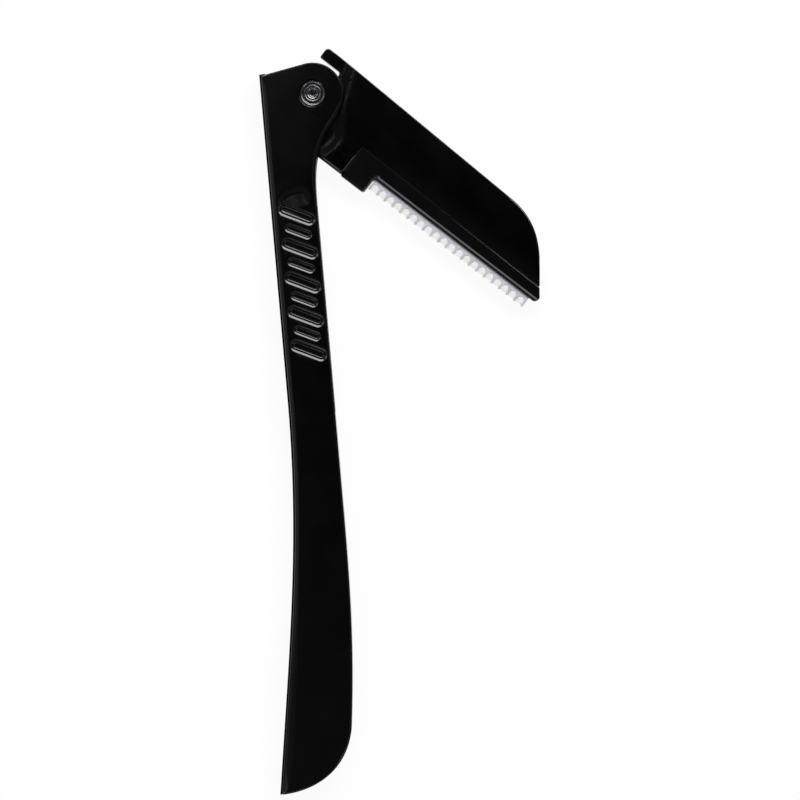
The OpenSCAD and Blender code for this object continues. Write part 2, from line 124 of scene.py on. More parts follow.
def bend(first: Vector, leave: float, last: Vector, arrive: float, share: float = 0.36,
         steps: int = 24) -> list[Vector]:
    """Draws a smooth curve between two headings, without its last point.

    Args:
        first: Where the curve starts.
        leave: Heading there in degrees.
        last: Where it ends.
        arrive: Heading there in degrees.
        share: Length of the curve's handles as a share of its chord.
        steps: Number of points.

    Returns:
        The points in order.
    """
    reach = share * (last - first).length
    near, far = first + polar(reach, leave), last - polar(reach, arrive)
    points = []
    for i in range(steps):
        t = i / steps
        s = 1 - t
        points.append(first * s**3 + near * 3 * s * s * t + far * 3 * s * t * t + last * t**3)
    return points


def circle(radius: float, steps: int = 72) -> list[Vector]:
    """Returns a circle about the pivot, clockwise."""
    return arc(PIVOT, radius, 0, -360, steps)


def divide(points: list[Vector], step: float = 1.5) -> list[Vector]:
    """Divides the long edges of a closed outline.

    Args:
        points: Corners of the outline.
        step: Greatest length of an edge.

    Returns:
        The corners with the new points between them.
    """
    result = []
    for first, second in zip(points, points[1:] + points[:1]):
        count = max(math.ceil((second - first).length / step), 1)
        result += [first.lerp(second, i / count) for i in range(count)]
    return result


def step_share(value: float, low: float, high: float) -> float:
    """Returns 0 below low, 1 above high and a smooth step between them."""
    t = min(max((value - low) / (high - low), 0), 1)
    return t * t * (3 - 2 * t)


def cuts(across: Vector, *spots: float) -> list[tuple[Vector, Vector]]:
    """Returns cutting lines square to a direction, at distances along it."""
    return [(across * spot, across) for spot in spots]


@dataclass
class Outline:
    """A closed outline that runs clockwise and whose corners are softened.

    Attributes:
        points: Corners of the sharp outline.
        radius: Radius of a softened corner.
        turn: Least turn in degrees that counts as a corner.
        corner_steps: Number of points on a softened corner.
        least_radius: Radius that a softened corner keeps, however far it is drawn in.
        room_share: Greatest share of an edge that a softened corner takes.
    """

    points: list[Vector]
    radius: float = 0.2
    turn: float = 28
    corner_steps: int = 5
    least_radius: float = 0.04
    room_share: float = 0.45

    def __post_init__(self) -> None:
        """Finds the corners and their direction."""
        self.turns: dict[int, float] = {}
        for i in range(len(self.points)):
            before, after = self._edges(self.points, i)
            angle = math.degrees(math.atan2(before.cross(after), before.dot(after)))
            if abs(angle) > self.turn:
                self.turns[i] = angle

    @staticmethod
    def _edges(points: list[Vector], i: int) -> tuple[Vector, Vector]:
        """Finds the directions of the two edges that meet at a corner.

        Args:
            points: Corners of a closed outline.
            i: Number of the corner.

        Returns:
            The unit vectors of the edges before and after it.
        """
        before = (points[i] - points[i - 1]).normalized()
        after = (points[(i + 1) % len(points)] - points[i]).normalized()
        return before, after

    def spread(self, values: list[float]) -> list[float]:
        """Returns one value for each point of a ring, from one for each sharp corner."""
        return [value for i, value in enumerate(values)
                for _ in range(self.corner_steps if i in self.turns else 1)]

    def ring(self, depth: float | list[float] = 0) -> list[Vector]:
        """Draws the outline in by a depth, with softened corners.

        Args:
            depth: Distance inwards, for all the sharp corners or for each.

        Returns:
            Its points. Every depth gives the same number of them.
        """
        depths = depth if isinstance(depth, list) else [depth] * len(self.points)
        sharp = []
        for i, point in enumerate(self.points):
            before, after = self._edges(self.points, i)
            middle = (before + after).normalized()
            inward = Vector((middle.y, -middle.x))
            sharp.append(point + inward * depths[i] / math.sqrt((1 + before.dot(after)) / 2))
        soft = []
        for i, point in enumerate(sharp):
            if i not in self.turns:
                soft.append(point)
                continue
            before, after = self._edges(sharp, i)
            turn = self.turns[i]
            radius = max(self.radius + (depths[i] if turn > 0 else -depths[i]), self.least_radius)
            room = min((point - sharp[i - 1]).length, (sharp[(i + 1) % len(sharp)] - point).length)
            cut = min(radius * math.tan(math.radians(abs(turn) / 2)), self.room_share * room)
            start, end = point - before * cut, point + after * cut
            for k in range(self.corner_steps):
                t = k / (self.corner_steps - 1)
                soft.append(start * (1 - t)**2 + point * 2 * t * (1 - t) + end * t * t)
        return soft


@dataclass(frozen=True)
class Placement:
    """Where a half's own millimetre frame lies in the model's frame.

    Attributes:
        pivot: The pivot in millimetres.
        angle: Turn about the pivot in degrees.
        level: Height of the frame's own zero in millimetres.
    """

    pivot: Vector
    angle: float
    level: float = 0

    def matrix(self) -> Matrix:
        """Returns the matrix from the half's millimetres to the model's metres."""
        place = Matrix.Translation(Vector((self.pivot.x, self.pivot.y, self.level)))
        return Matrix.Scale(MM, 4) @ place @ Matrix.Rotation(math.radians(self.angle), 4, "Z")


class Skin:
    """A closed skin that is built ring by ring in millimetres."""

    def __init__(self) -> None:
        """Starts with an empty mesh."""
        self.mesh = bmesh.new()

    def ring(self, points: list[Vector], level: float | list[float] | Height) -> Ring:
        """Adds a closed ring of corners.

        Args:
            points: Its points in plan.
            level: Height of all of them, or of each.

        Returns:
            The ring's corners.
        """
        if callable(level):
            levels = [level(point) for point in points]
        else:
            levels = level if isinstance(level, list) else [level] * len(points)
        corners = [self.mesh.verts.new((p.x, p.y, z)) for p, z in zip(points, levels)]
        self.join(corners + corners[:1])
        return corners

    def join(self, corners: Ring) -> None:
        """Joins corners in a row by edges.

        Args:
            corners: The corners in order.
        """
        for first, second in zip(corners, corners[1:]):
            if not self.mesh.edges.get((first, second)):
                self.mesh.edges.new((first, second))

    def wall(self, lower: Ring, upper: Ring) -> None:
        """Joins two closed rings of equal count by a band of faces.

        Args:
            lower: The first ring.
            upper: The second ring.
        """
        count = len(lower)
        for i in range(count):
            k = (i + 1) % count
            self.mesh.faces.new((lower[i], lower[k], upper[k], upper[i]))

    def bands(self, rings: list[Ring]) -> None:
        """Joins a row of rings by bands."""
        for lower, upper in zip(rings, rings[1:]):
            self.wall(lower, upper)

    def cap(self, *rings: Ring) -> list[bmesh.types.BMFace]:
        """Fills the space inside the first ring and outside the others.

        Args:
            rings: The outer ring, and then one ring for each hole.

        Returns:
            The faces of the cap.
        """
        edges = []
        for corners in rings:
            edges += [self.mesh.edges.get(pair) for pair in zip(corners, corners[1:] + corners[:1])]
        made = bmesh.ops.triangle_fill(self.mesh, use_beauty=True, edges=edges, normal=(0, 0, 1))
        return [item for item in made["geom"] if isinstance(item, bmesh.types.BMFace)]

    def rim(self, outline: Outline, depths: list[float], drops: list[float],
            top: Height) -> Ring:
        """Adds a ring of an outline that is drawn in and lies below a face.

        Args:
            outline: The outline.
            depths: Distance inwards at each of its sharp corners.
            drops: Distance below the face at each of them.
            top: Height of the face.

        Returns:
            The ring's corners.
        """
        points = outline.ring(depths)
        return self.ring(points, [top(p) - drop for p, drop in zip(points, outline.spread(drops))])

    def pit(self, loops: list[tuple[list[Vector], float]], top: Height) -> Ring:
        """Presses a pit into a face.

        Args:
            loops: The points of each ring from the rim inwards, and its distance below the face.
            top: Height of the face.

        Returns:
            The rim's corners.
        """
        rings = [self.ring(points, [top(p) - drop for p in points]) for points, drop in loops]
        self.bands(rings)
        self.cap(rings[-1])
        return rings[0]

    def draw_out(self, section: list[tuple[float, float]], start: float,
                 end: float) -> list[Ring]:
        """Draws a section out along X, with open ends.

        Args:
            section: Place and height of each of its corners.
            start: Where it starts.
            end: Where it ends.

        Returns:
            The corners at both ends.
        """
        rings = [[self.mesh.verts.new((x, y, z)) for y, z in section] for x in (start, end)]
        self.bands(rings)
        return rings

    def slice(self, faces: list[bmesh.types.BMFace], spots: list[tuple[Vector, Vector]],
              height: Height) -> None:
        """Cuts faces along lines and lifts the new corners to a height.

        Args:
            faces: The faces of a cap.
            spots: A point on each line, and the line's normal in plan.
            height: Height at each point in plan.
        """
        known = set(self.mesh.verts)
        parts = list(faces)
        for spot, normal in spots:
            live = [f for f in parts if f.is_valid]
            edges = list({e for f in live for e in f.edges})
            verts = list({v for f in live for v in f.verts})
            cut = bmesh.ops.bisect_plane(
                self.mesh, geom=verts + edges + live, dist=CUT,
                plane_co=(spot.x, spot.y, 0), plane_no=(normal.x, normal.y, 0))
            parts = [item for item in cut["geom"] if isinstance(item, bmesh.types.BMFace)]
        for corner in self.mesh.verts:
            if corner not in known:
                corner.co.z = height(Vector(corner.co.xy))

    def weld(self) -> None:
        """Makes corners that lie on each other one."""
        bmesh.ops.remove_doubles(self.mesh, verts=self.mesh.verts, dist=WELD)

    def turn_over(self, side: int) -> None:
        """Keeps the skin as it is for side 1, and mirrors it in its middle plane for side -1."""
        bmesh.ops.scale(self.mesh, vec=(1, 1, side), verts=list(self.mesh.verts))

    def finish(self, name: str, placement: Placement, crease: float = 32) -> bpy.types.Object:
        """Turns the skin into an object.

        Args:
            name: Name of the piece.
            placement: Where its frame lies.
            crease: Least angle in degrees that stays a sharp edge.

        Returns:
            The object, linked to the scene.
        """
        self.weld()
        bmesh.ops.recalc_face_normals(self.mesh, faces=list(self.mesh.faces))
        for face in self.mesh.faces:
            face.smooth = True
        self.mesh.transform(placement.matrix())
        data = bpy.data.meshes.new(name)
        self.mesh.to_mesh(data)
        self.mesh.free()
        data.set_sharp_from_angle(angle=math.radians(crease))
        piece = bpy.data.objects.new(name, data)
        bpy.context.scene.collection.objects.link(piece)
        return piece


class Terraces:
    """Flat levels side by side, joined by upright walls.

    Attributes:
        digits: Number of decimals to which two places are matched.
    """

    digits: int = 4

    def __init__(self, skin: Skin, points: list[Vector], ring: Ring) -> None:
        """Starts from the ring that runs round all the levels.

        Args:
            skin: The skin that is built.
            points: The ring's points in plan.
            ring: Its corners.
        """
        self.skin = skin
        self.corners: dict[tuple[float, float, float], bmesh.types.BMVert] = {}
        self.sides: dict[tuple[float, ...], list[tuple[float, bool]]] = {}
        self.base = round(ring[0].co.z, self.digits)
        for point, corner in zip(points, ring):
            self.corners[self._key(point, self.base)] = corner
        self._note(points[::-1], self.base)

    def _key(self, point: Vector, level: float) -> tuple[float, float, float]:
        """Returns a key for a point at a level."""
        return tuple(round(value, self.digits) for value in (point.x, point.y, level))

    def _note(self, points: list[Vector], level: float) -> None:
        """Notes which level lies on each side of the edges of a closed loop.

        Args:
            points: The loop's points in plan.
            level: Height of the level.
        """
        for first, second in zip(points, points[1:] + points[:1]):
            a, b = self._key(first, 0)[:2], self._key(second, 0)[:2]
            if a != b:
                self.sides.setdefault((*min(a, b), *max(a, b)), []).append((level, a < b))

    def corner(self, point: Vector, level: float) -> bmesh.types.BMVert:
        """Finds the corner at a point and a level, or adds it.

        Args:
            point: Its place in plan.
            level: Its height.

        Returns:
            The corner.
        """
        key = self._key(point, level)
        if key not in self.corners:
            self.corners[key] = self.skin.mesh.verts.new((point.x, point.y, level))
        return self.corners[key]

    def under(self, ring: Ring, whole: Outline) -> None:
        """Joins the lowest ring of a bevel to the ring round all the levels.

        Args:
            ring: The bevel's ring.
            whole: The outline that both rings are drawn from.
        """
        base = [self.corner(point, self.base) for point in whole.points]
        spread, i = [], 0
        for k in range(len(whole.points)):
            count = whole.corner_steps if k in whole.turns else 1
            spread.append(ring[i:i + count])
            i += count
        for k, group in enumerate(spread):
            following = spread[(k + 1) % len(spread)]
            for first, second in zip(group, group[1:]):
                self.skin.mesh.faces.new((first, second, base[k]))
            self.skin.mesh.faces.new((group[-1], following[0], base[(k + 1) % len(base)],
                                      base[k]))

    def level(self, points: list[Vector], height: float, *holes: Ring) -> None:
        """Adds a flat level.

        Args:
            points: Its outline in plan, clockwise.
            height: Its height.
            holes: Rings of holes in it.
        """
        loop = []
        for point in points:
            if not loop or (point - loop[-1]).length > WELD:
                loop.append(point)
        self._note(loop, round(height, self.digits))
        ring = [self.corner(point, height) for point in loop]
        self.skin.join(ring + ring[:1])
        self.skin.cap(ring, *holes)

    def walls(self) -> None:
        """Adds an upright wall between any two levels that share an edge."""
        heights: dict[tuple[float, float], list[float]] = {}
        for x, y, z in self.corners:
            heights.setdefault((x, y), []).append(z)
        for (ax, ay, bx, by), levels in self.sides.items():
            if len(levels) != 2 or levels[0][0] == levels[1][0]:
                continue
            low, high = sorted(level for level, _ in levels)
            up = sorted(z for z in heights[(bx, by)] if low <= z <= high)
            down = sorted((z for z in heights[(ax, ay)] if low <= z <= high), reverse=True)
            self.skin.mesh.faces.new([self.corners[(bx, by, z)] for z in up]
                                     + [self.corners[(ax, ay, z)] for z in down])


# Finishes

class Graph:
    """The node graph of one material."""

    def __init__(self, name: str) -> None:
        """Makes a material with one shader.

        Args:
            name: Name of the material.
        """
        self.material = bpy.data.materials.new(name)
        self.material.use_nodes = True
        self.nodes = self.material.node_tree.nodes
        self.shader = self.nodes["Principled BSDF"]
        self.place = self.nodes.new("ShaderNodeTexCoord").outputs["Object"]

    def link(self, output: bpy.types.NodeSocket, target: bpy.types.NodeSocket) -> None:
        """Joins two sockets."""
        self.material.node_tree.links.new(output, target)

    def noise(self, size: float, detail: float, stretch: float = 1,
              turn: float = 0) -> bpy.types.NodeSocket:
        """Adds a noise.

        Args:
            size: Size of its grain in millimetres.
            detail: Number of finer layers.
            stretch: How much longer the grain is along its direction.
            turn: Direction of the grain about Z in degrees.

        Returns:
            The noise's value, from 0 to 1.
        """
        turned = self.nodes.new("ShaderNodeMapping")
        turned.vector_type = "TEXTURE"
        turned.inputs["Rotation"].default_value[2] = math.radians(turn)
        turned.inputs["Scale"].default_value = (stretch, 1, 1)
        self.link(self.place, turned.inputs["Vector"])
        grain = self.nodes.new("ShaderNodeTexNoise")
        grain.inputs["Scale"].default_value = 1 / (size * MM)
        grain.inputs["Detail"].default_value = detail
        self.link(turned.outputs["Vector"], grain.inputs["Vector"])
        return grain.outputs["Fac"]

    def spread(self, value: bpy.types.NodeSocket, low: float, high: float,
               span: tuple[float, float] = (0.3, 0.7)) -> bpy.types.NodeSocket:
        """Spreads a value over a range.

        Args:
            value: The value.
            low: Result at the start of the span.
            high: Result at its end.
            span: Values that the range stands for.

        Returns:
            The result.
        """
        node = self.nodes.new("ShaderNodeMapRange")
        node.inputs["From Min"].default_value, node.inputs["From Max"].default_value = span
        node.inputs["To Min"].default_value, node.inputs["To Max"].default_value = low, high
        self.link(value, node.inputs["Value"])
        return node.outputs["Result"]

    def tint(self, share: bpy.types.NodeSocket, first: Colour,
             second: Colour) -> bpy.types.NodeSocket:
        """Mixes two colours.

        Args:
            share: Share of the second colour.
            first: The first colour.
            second: The second colour.

        Returns:
            The mixed colour.
        """
        node = self.nodes.new("ShaderNodeMix")
        node.data_type = "RGBA"
        colours = [socket for socket in node.inputs if socket.type == "RGBA"]
        colours[0].default_value, colours[1].default_value = (*first, 1), (*second, 1)
        self.link(share, node.inputs["Factor"])
        return next(socket for socket in node.outputs if socket.type == "RGBA")

    def edges(self, radius: float, samples: int = 4,
              span: tuple[float, float] = (0.82, 0.995)) -> bpy.types.NodeSocket:
        """Finds the edges of a piece.

        Args:
            radius: How far an edge reaches, in millimetres.
            samples: Number of rays that look for it.
            span: How alike the plain and the rounded normal are at an edge and on a flat face.

        Returns:
            A share that is 0 on flat faces and 1 at an edge.
        """
        rounded = self.nodes.new("ShaderNodeBevel")
        rounded.inputs["Radius"].default_value = radius * MM
        rounded.samples = samples
        plain = self.nodes.new("ShaderNodeNewGeometry")
        match = self.nodes.new("ShaderNodeVectorMath")
        match.operation = "DOT_PRODUCT"
        self.link(rounded.outputs["Normal"], match.inputs[0])
        self.link(plain.outputs["Normal"], match.inputs[1])
        return self.spread(match.outputs["Value"], 1, 0, span)

    def relief(self, value: bpy.types.NodeSocket, depth: float) -> None:
        """Presses a value into the surface.

        Args:
            value: The value.
            depth: Depth at a value of 1, in millimetres.
        """
        bump = self.nodes.new("ShaderNodeBump")
        bump.inputs["Strength"].default_value = 1
        bump.inputs["Distance"].default_value = depth * MM
        self.link(value, bump.inputs["Height"])
        self.link(bump.outputs["Normal"], self.shader.inputs["Normal"])


@dataclass(frozen=True)
class MouldedPlastic:
    """Moulded plastic with a fine skin, rubbed paler along its edges.

    Attributes:
        colour: Colour of the plastic.
        rubbed: Colour of a rubbed edge.
        rough: Least and greatest roughness.
        grain_depth: Depth of the skin's grain in millimetres.
        grain: Size of that grain in millimetres.
        edge_w: Width of a rubbed edge in millimetres.
        patch: Size of the patches of one roughness in millimetres.
        ior: Index of refraction.
    """

    colour: Colour
    rubbed: Colour
    rough: tuple[float, float]
    grain_depth: float
    grain: float = 0.09
    edge_w: float = 0.12
    patch: float = 4
    ior: float = 1.5

    def make(self, name: str) -> bpy.types.Material:
        """Makes the material.

        Args:
            name: Its name.

        Returns:
            The material.
        """
        graph = Graph(name)
        worn = graph.edges(self.edge_w)
        graph.link(graph.tint(worn, self.colour, self.rubbed), graph.shader.inputs["Base Color"])
        rough = graph.spread(graph.noise(self.patch, detail=4), *self.rough)
        graph.link(rough, graph.shader.inputs["Roughness"])
        graph.relief(graph.noise(self.grain, detail=2), self.grain_depth)
        graph.shader.inputs["IOR"].default_value = self.ior
        return graph.material


@dataclass(frozen=True)
class Steel:
    """Steel with a grain that may run one way.

    Attributes:
        colour: Colour of the metal.
        stained: Colour of its duller patches.
        rough: Least and greatest roughness.
        grain: Size of the grain in millimetres.
        grain_depth: Depth of the grain in millimetres.
        stretch: How much longer the grain is along its direction.
        turn: Direction of the grain in degrees.
        metal: Share that reflects as bare metal.
        patch: Size of the duller patches in millimetres.
    """

    colour: Colour
    stained: Colour
    rough: tuple[float, float]
    grain: float
    grain_depth: float
    stretch: float = 1
    turn: float = 0
    metal: float = 1
    patch: float = 1.5

    def make(self, name: str) -> bpy.types.Material:
        """Makes the material.

        Args:
            name: Its name.

        Returns:
            The material.
        """
        graph = Graph(name)
        dull = graph.spread(graph.noise(self.patch, detail=5), 0, 1, span=(0.4, 0.75))
        graph.link(graph.tint(dull, self.colour, self.stained), graph.shader.inputs["Base Color"])
        fine = graph.noise(self.grain, detail=2, stretch=self.stretch, turn=self.turn)
        graph.link(graph.spread(fine, *self.rough), graph.shader.inputs["Roughness"])
        graph.relief(fine, self.grain_depth)
        graph.shader.inputs["Metallic"].default_value = self.metal
        return graph.material


@dataclass
class Finishes:
    """The finishes of all the pieces.

    Attributes:
        recipes: What each finish is made of.
    """

    recipes: dict[Finish, MouldedPlastic | Steel] = field(default_factory=lambda: {
        Finish.HANDLE: MouldedPlastic(
            colour=(0.0004, 0.0004, 0.0006), rubbed=(0.0014, 0.0014, 0.0018),
            rough=(0.15, 0.19), grain_depth=0.0005),
        Finish.HEAD: MouldedPlastic(
            colour=(0.0003, 0.0003, 0.0004), rubbed=(0.0016, 0.0016, 0.002),
            rough=(0.12, 0.17), grain_depth=0.0002),
        Finish.CARRIER: MouldedPlastic(
            colour=(0.001, 0.001, 0.0014), rubbed=(0.002, 0.002, 0.0024),
            rough=(0.16, 0.2), grain_depth=0.0004),
        Finish.WASHER: MouldedPlastic(
            colour=(0.42, 0.42, 0.4), rubbed=(0.5, 0.5, 0.48),
            rough=(0.35, 0.5), grain_depth=0.001, grain=0.15),
        Finish.RIVET: Steel(
            colour=(0.12, 0.12, 0.125), stained=(0.085, 0.085, 0.09),
            rough=(0.18, 0.23), grain=0.3, grain_depth=0.0006),
        # The blade's near-white colour, mostly not metal, is partly the steel's pale tone and
        # partly a painted reflection of the white surroundings that bright steel mirrors.
        Finish.BLADE: Steel(
            colour=(0.91, 0.91, 0.89), stained=(0.87, 0.87, 0.85), rough=(0.3, 0.42),
            grain=0.03, grain_depth=0.001, stretch=20, turn=52.5, metal=0.2),
        # The guard's pale bluish colour, mostly not metal, is partly the steel's own tone and
        # partly a painted reflection of the bright surroundings.
        Finish.GUARD: Steel(
            colour=(0.68, 0.68, 0.74), stained=(0.6, 0.6, 0.66), rough=(0.25, 0.36),
            grain=0.04, grain_depth=0.001, stretch=12, turn=-37.5, metal=0.35),
    })

    def __post_init__(self) -> None:
        """Makes each material once."""
        self.made = {finish: recipe.make(finish.value[0])
                     for finish, recipe in self.recipes.items()}

    def dress(self, piece: bpy.types.Object, finish: Finish, body: Body, *nodes: str) -> None:
        """Gives a piece its finish and its place in the frame.

        Args:
            piece: The piece.
            finish: Its finish.
            body: The body that it rides on.
            nodes: The solids that it stands for.
        """
        piece.data.materials.clear()
        piece.data.materials.append(self.made[finish])
        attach(piece, body.value)
        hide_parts(*nodes)
        log.info("%s: %d faces", piece.name, len(piece.data.polygons))


# The handle

@dataclass
class Handle:
    """The two handle shells. All sizes are in millimetres about the pivot.

    A profile lists distances inwards from the outline, each with its distance from a face.
    """

    placement: Placement
    finishes: Finishes
    back_reach: float = 7.46
    grip_w: float = 6.7
    length: float = 100.45
    straight_len: float = 44
    butt_set: float = 6
    butt_heading: float = 81.6  # Heading of the spine as it leaves the butt
    corner_rise: float = 3.4
    corner_r: float = 0.25
    nose_r: float = 4.4
    nose_leave: float = -12  # Place on the nose where the neck starts, in degrees
    neck_len: float = 15.5
    knee_shares: tuple[float, float] = (0.48, 0.31)  # Of the nose's radius and the neck
    knee_heading: float = -130
    belly_share: float = 0.6  # Of the length, where the belly starts
    round_shares: tuple[float, float] = (0.27, 0.915)  # Of the butt's set and the length
    belly_heading: float = -97
    round_headings: tuple[float, float] = (-101, -178)
    round_pull: float = 0.4
    cheek_t: float = 1.2
    slot_w: float = 2.8
    wall_t: float = 0.8
    rim_w: float = 0.26
    rim_rise: float = 0.6
    seat: float = 0.02  # Play between the rim and the front shell
    channel_len: float = 46
    sweep_r: float = 7.035  # Radius of the relief that the tail finger sweeps past
    bore_r: float = 1
    counterbore_r: float = 2
    counterbore_depth: float = 0.65
    counterbore_rim: Profile = ((0.01, 0.015), (0, 0.05))
    counterbore_foot: Profile = ((0, 0.05), (0.04, 0.01), (0.1, 0))
    bore_ease: float = 0.05
    front_flare: float = 0.1
    back_flare: float = 0.08
    groove_count: int = 9
    groove_pitch: float = 2.458
    groove_start: float = 17.2
    groove_slant: float = 25.8
    groove_shift: float = 1.3  # Of the rim's width, from the middle of the grip
    long_groove: tuple[float, float] = (4.75, 1.5)  # Reach across the grip, and width
    short_groove: tuple[float, float] = (3.5, 1.1)
    groove_depth: float = 0.4
    groove_profile: Profile = (  # Shares of half the width, and shares of the depth
        (0.34, 0), (0.31, 0), (0.28, 0.01), (0.26, 0.02), (0.24, 0.032), (-0.06, 0.21),
        (-0.08, 0.222), (-0.11, 0.28), (-0.18, 0.44), (-0.3, 0.72), (-0.4, 0.86), (-0.5, 0.92),
        (-0.78, 0.99), (-0.86, 1))
    crown: float = 0.05
    crown_lean: float = 530  # Follows the handle's bend towards the butt
    crown_swell: float = 5.2  # Follows the round nose
    crown_belly: float = 0.45  # Follows the belly
    dip_start: float = 14.2
    dip_len: float = 2
    dip_half_w: float = 2.3
    dip_depth: float = 0.2
    dip_bow: float = 0.4
    dip_lean: float = 0.3
    dip_rise: float = 0.4
    dip_core: float = 0.7  # Share of the half width that has the full depth
    spine_fade: tuple[float, float] = (0.5, 4)  # Above the butt, to the spine's own profile
    foot_profile: Profile = ((0.05, 0), (0.01, 0.02), (0, 0.06))
    edge_profile: Profile = (
        (0, 0.36), (0.015, 0.31), (0.05, 0.27), (0.36, 0.06), (0.42, 0.02), (0.47, 0.003),
        (0.51, 0), (0.56, 0))
    spine_profile: Profile = (
        (0, 0.36), (0.015, 0.31), (0.04, 0.26), (0.15, 0.12), (0.2, 0.095), (0.56, 0.014),
        (0.62, 0), (0.67, 0))
    nose_narrowing: float = 0.7  # Of the edge's width, over the span that follows
    nose_span: tuple[float, float] = (-2.6, -1.2)
    grip_narrowing: float = 0.5  # Likewise, below the neck
    grip_span: tuple[float, float] = (12, 15.5)
    butt_span: tuple[float, float] = (66, 95)  # Where the spine's edge widens to double
    back_profile: Profile = (
        (0.56, 0), (0.5, 0), (0.42, 0.02), (0.36, 0.06), (0.05, 0.27), (0.015, 0.31))
    back_edge: float = 0.36
    back_corner_r: float = 0.001
    back_turn: float = 60

    @property
    def front_x(self) -> float:
        """Right side of the handle along the grip."""
        return self.grip_w - self.back_reach

    @property
    def front_z(self) -> float:
        """Lower face of the front shell."""
        return self.cheek_t + self.slot_w

    @property
    def top_z(self) -> float:
        """Outer face of the front shell."""
        return self.front_z + self.cheek_t

    def spine_corner(self, shift: float) -> Vector:
        """Returns the spine wall's upper corner."""
        return Vector((shift - self.back_reach, self.corner_rise - shift))

    def butt_corner(self, shift: float) -> Vector:
        """Returns the corner at the butt."""
        return Vector((shift - self.back_reach - self.butt_set, -self.length))

    def spine_side(self, shift: float) -> list[Vector]:
        """Returns the spine side from the butt up to where it is straight."""
        top = Vector((shift - self.back_reach, -self.straight_len))
        return bend(self.butt_corner(shift), self.butt_heading, top, 90, steps=40) + [top]

    def front_side(self, shift: float) -> list[Vector]:
        """Draws the round end and the neck, to where the grip's side is straight.

        Args:
            shift: Distance by which the spine side is moved in.

        Returns:
            The side's points, clockwise.
        """
        corner = self.spine_corner(shift)
        touch = math.degrees(math.atan2(corner.y, corner.x)
                             - math.acos(self.nose_r / corner.length))
        leave = polar(self.nose_r, self.nose_leave)
        knee = Vector((self.nose_r * self.knee_shares[0], -self.neck_len * self.knee_shares[1]))
        neck = Vector((self.front_x, -self.neck_len))
        return (arc(PIVOT, self.nose_r, touch, self.nose_leave, steps=60)
                + bend(leave, self.nose_leave - 90, knee, self.knee_heading)
                + bend(knee, self.knee_heading, neck, -90) + [neck])

    def belly(self, shift: float) -> list[Vector]:
        """Draws the belly and the butt's round, down to the butt's corner.

        Args:
            shift: Distance by which the spine side is moved in.

        Returns:
            The side's points, clockwise.
        """
        start = Vector((self.front_x, -self.length * self.belly_share))
        lean, fall = self.round_shares
        low = Vector((self.front_x - self.butt_set * lean, -self.length * fall))
        leave, arrive = self.round_headings
        return (bend(start, -90, low, self.belly_heading, steps=40)
                + bend(low, leave, self.butt_corner(shift), arrive, self.round_pull, steps=40))

    def outline(self, shift: float) -> Outline:
        """Returns the whole outline, with its spine side moved in by a shift."""
        return Outline(divide([self.spine_corner(shift)] + self.front_side(shift)
                              + self.belly(shift) + self.spine_side(shift)), self.corner_r)

    def top(self, point: Vector) -> float:
        """Finds the front face's height. It is crowned a little across the handle.

        Args:
            point: A point in plan.

        Returns:
            The height.
        """
        lean = max(-point.y - self.straight_len, 0)**2 / self.crown_lean
        low = -self.back_reach - lean
        high = (self.front_x + self.crown_swell * step_share(point.y, -self.neck_len, 1)
                - self.crown_belly * lean)
        across = min(max(2 * (point.x - low) / (high - low) - 1, -1), 1)
        return self.top_z - self.crown * across * across - self.dip(point)

    def dip(self, point: Vector) -> float:
        """Finds the depth of the shallow dip above the first groove.

        Args:
            point: A point in plan.

        Returns:
            The depth.
        """
        side = (point.x - self.front_x + self.grip_w / 2) / self.dip_half_w
        along = ((-point.y - self.dip_start) / self.dip_len - self.dip_bow * side * side
                 + self.dip_lean * side)
        edge = min(max(1 + along / self.dip_rise, 0), max(1 - along, 0), 1)
        return self.dip_depth * edge * (1 - step_share(abs(side), self.dip_core, 1))

    def stadium(self, reach: float, width: float, centre: Vector, grow: float) -> list[Vector]:
        """Draws a groove's outline, grown by a distance.

        Args:
            reach: Width of the handle that the groove takes.
            width: Width of the groove itself.
            centre: Its middle.
            grow: Distance outwards.

        Returns:
            Its points, clockwise.
        """
        slant = self.groove_slant
        half = reach / 2 / math.cos(math.radians(slant)) - width / 2
        radius = width / 2 + grow
        along = polar(half, -slant)
        return (arc(centre + along, radius, 90 - slant, -90 - slant, steps=16)
                + arc(centre - along, radius, -90 - slant, -270 - slant, steps=16))

    def groove(self, skin: Skin, index: int) -> Ring:
        """Presses one groove into the outer face.

        Args:
            skin: Skin of the front shell.
            index: Number of the groove, counted from the pivot.

        Returns:
            The groove's rim.
        """
        reach, width = self.long_groove if index % 2 == 0 else self.short_groove
        centre = Vector((self.front_x - self.grip_w / 2 + self.groove_shift * self.rim_w,
                         -self.groove_start - index * self.groove_pitch))
        depth = self.groove_depth * width / self.long_groove[1]
        return skin.pit([(self.stadium(reach, width, centre, grow * width / 2), drop * depth)
                         for grow, drop in self.groove_profile], self.top)

    def bore(self, flare: float) -> list[tuple[float, float]]:
        """Lists the rings of the counterbore and of the bore below it.

        Args:
            flare: How far its rim is flared.

        Returns:
            The radius of each ring and its distance from the outer face.
        """
        wide, deep, narrow = self.counterbore_r, self.counterbore_depth, self.bore_r
        return ([(wide + flare, 0), (wide + flare / 2, 0)]
                + [(wide + out, drop) for out, drop in self.counterbore_rim]
                + [(wide - inset, deep - rise) for inset, rise in self.counterbore_foot]
                + [(narrow + self.bore_ease, deep), (narrow, deep + self.bore_ease)])

    def edge_shape(self, point: Vector, on_spine: bool) -> tuple[float, float]:
        """Finds the form of the front shell's edge at a point.

        Args:
            point: A corner of the outline.
            on_spine: Whether it lies on the spine side.

        Returns:
            The share that the edge has of the spine's profile, and its width.
        """
        y = point.y
        if on_spine:
            late, early = self.spine_fade
            return (step_share(-y, self.length - late, self.length - early),
                    1 + step_share(-y, *self.butt_span))
        return 0, (1 - self.nose_narrowing * step_share(y, *self.nose_span)
                   - self.grip_narrowing * step_share(-y, *self.grip_span))

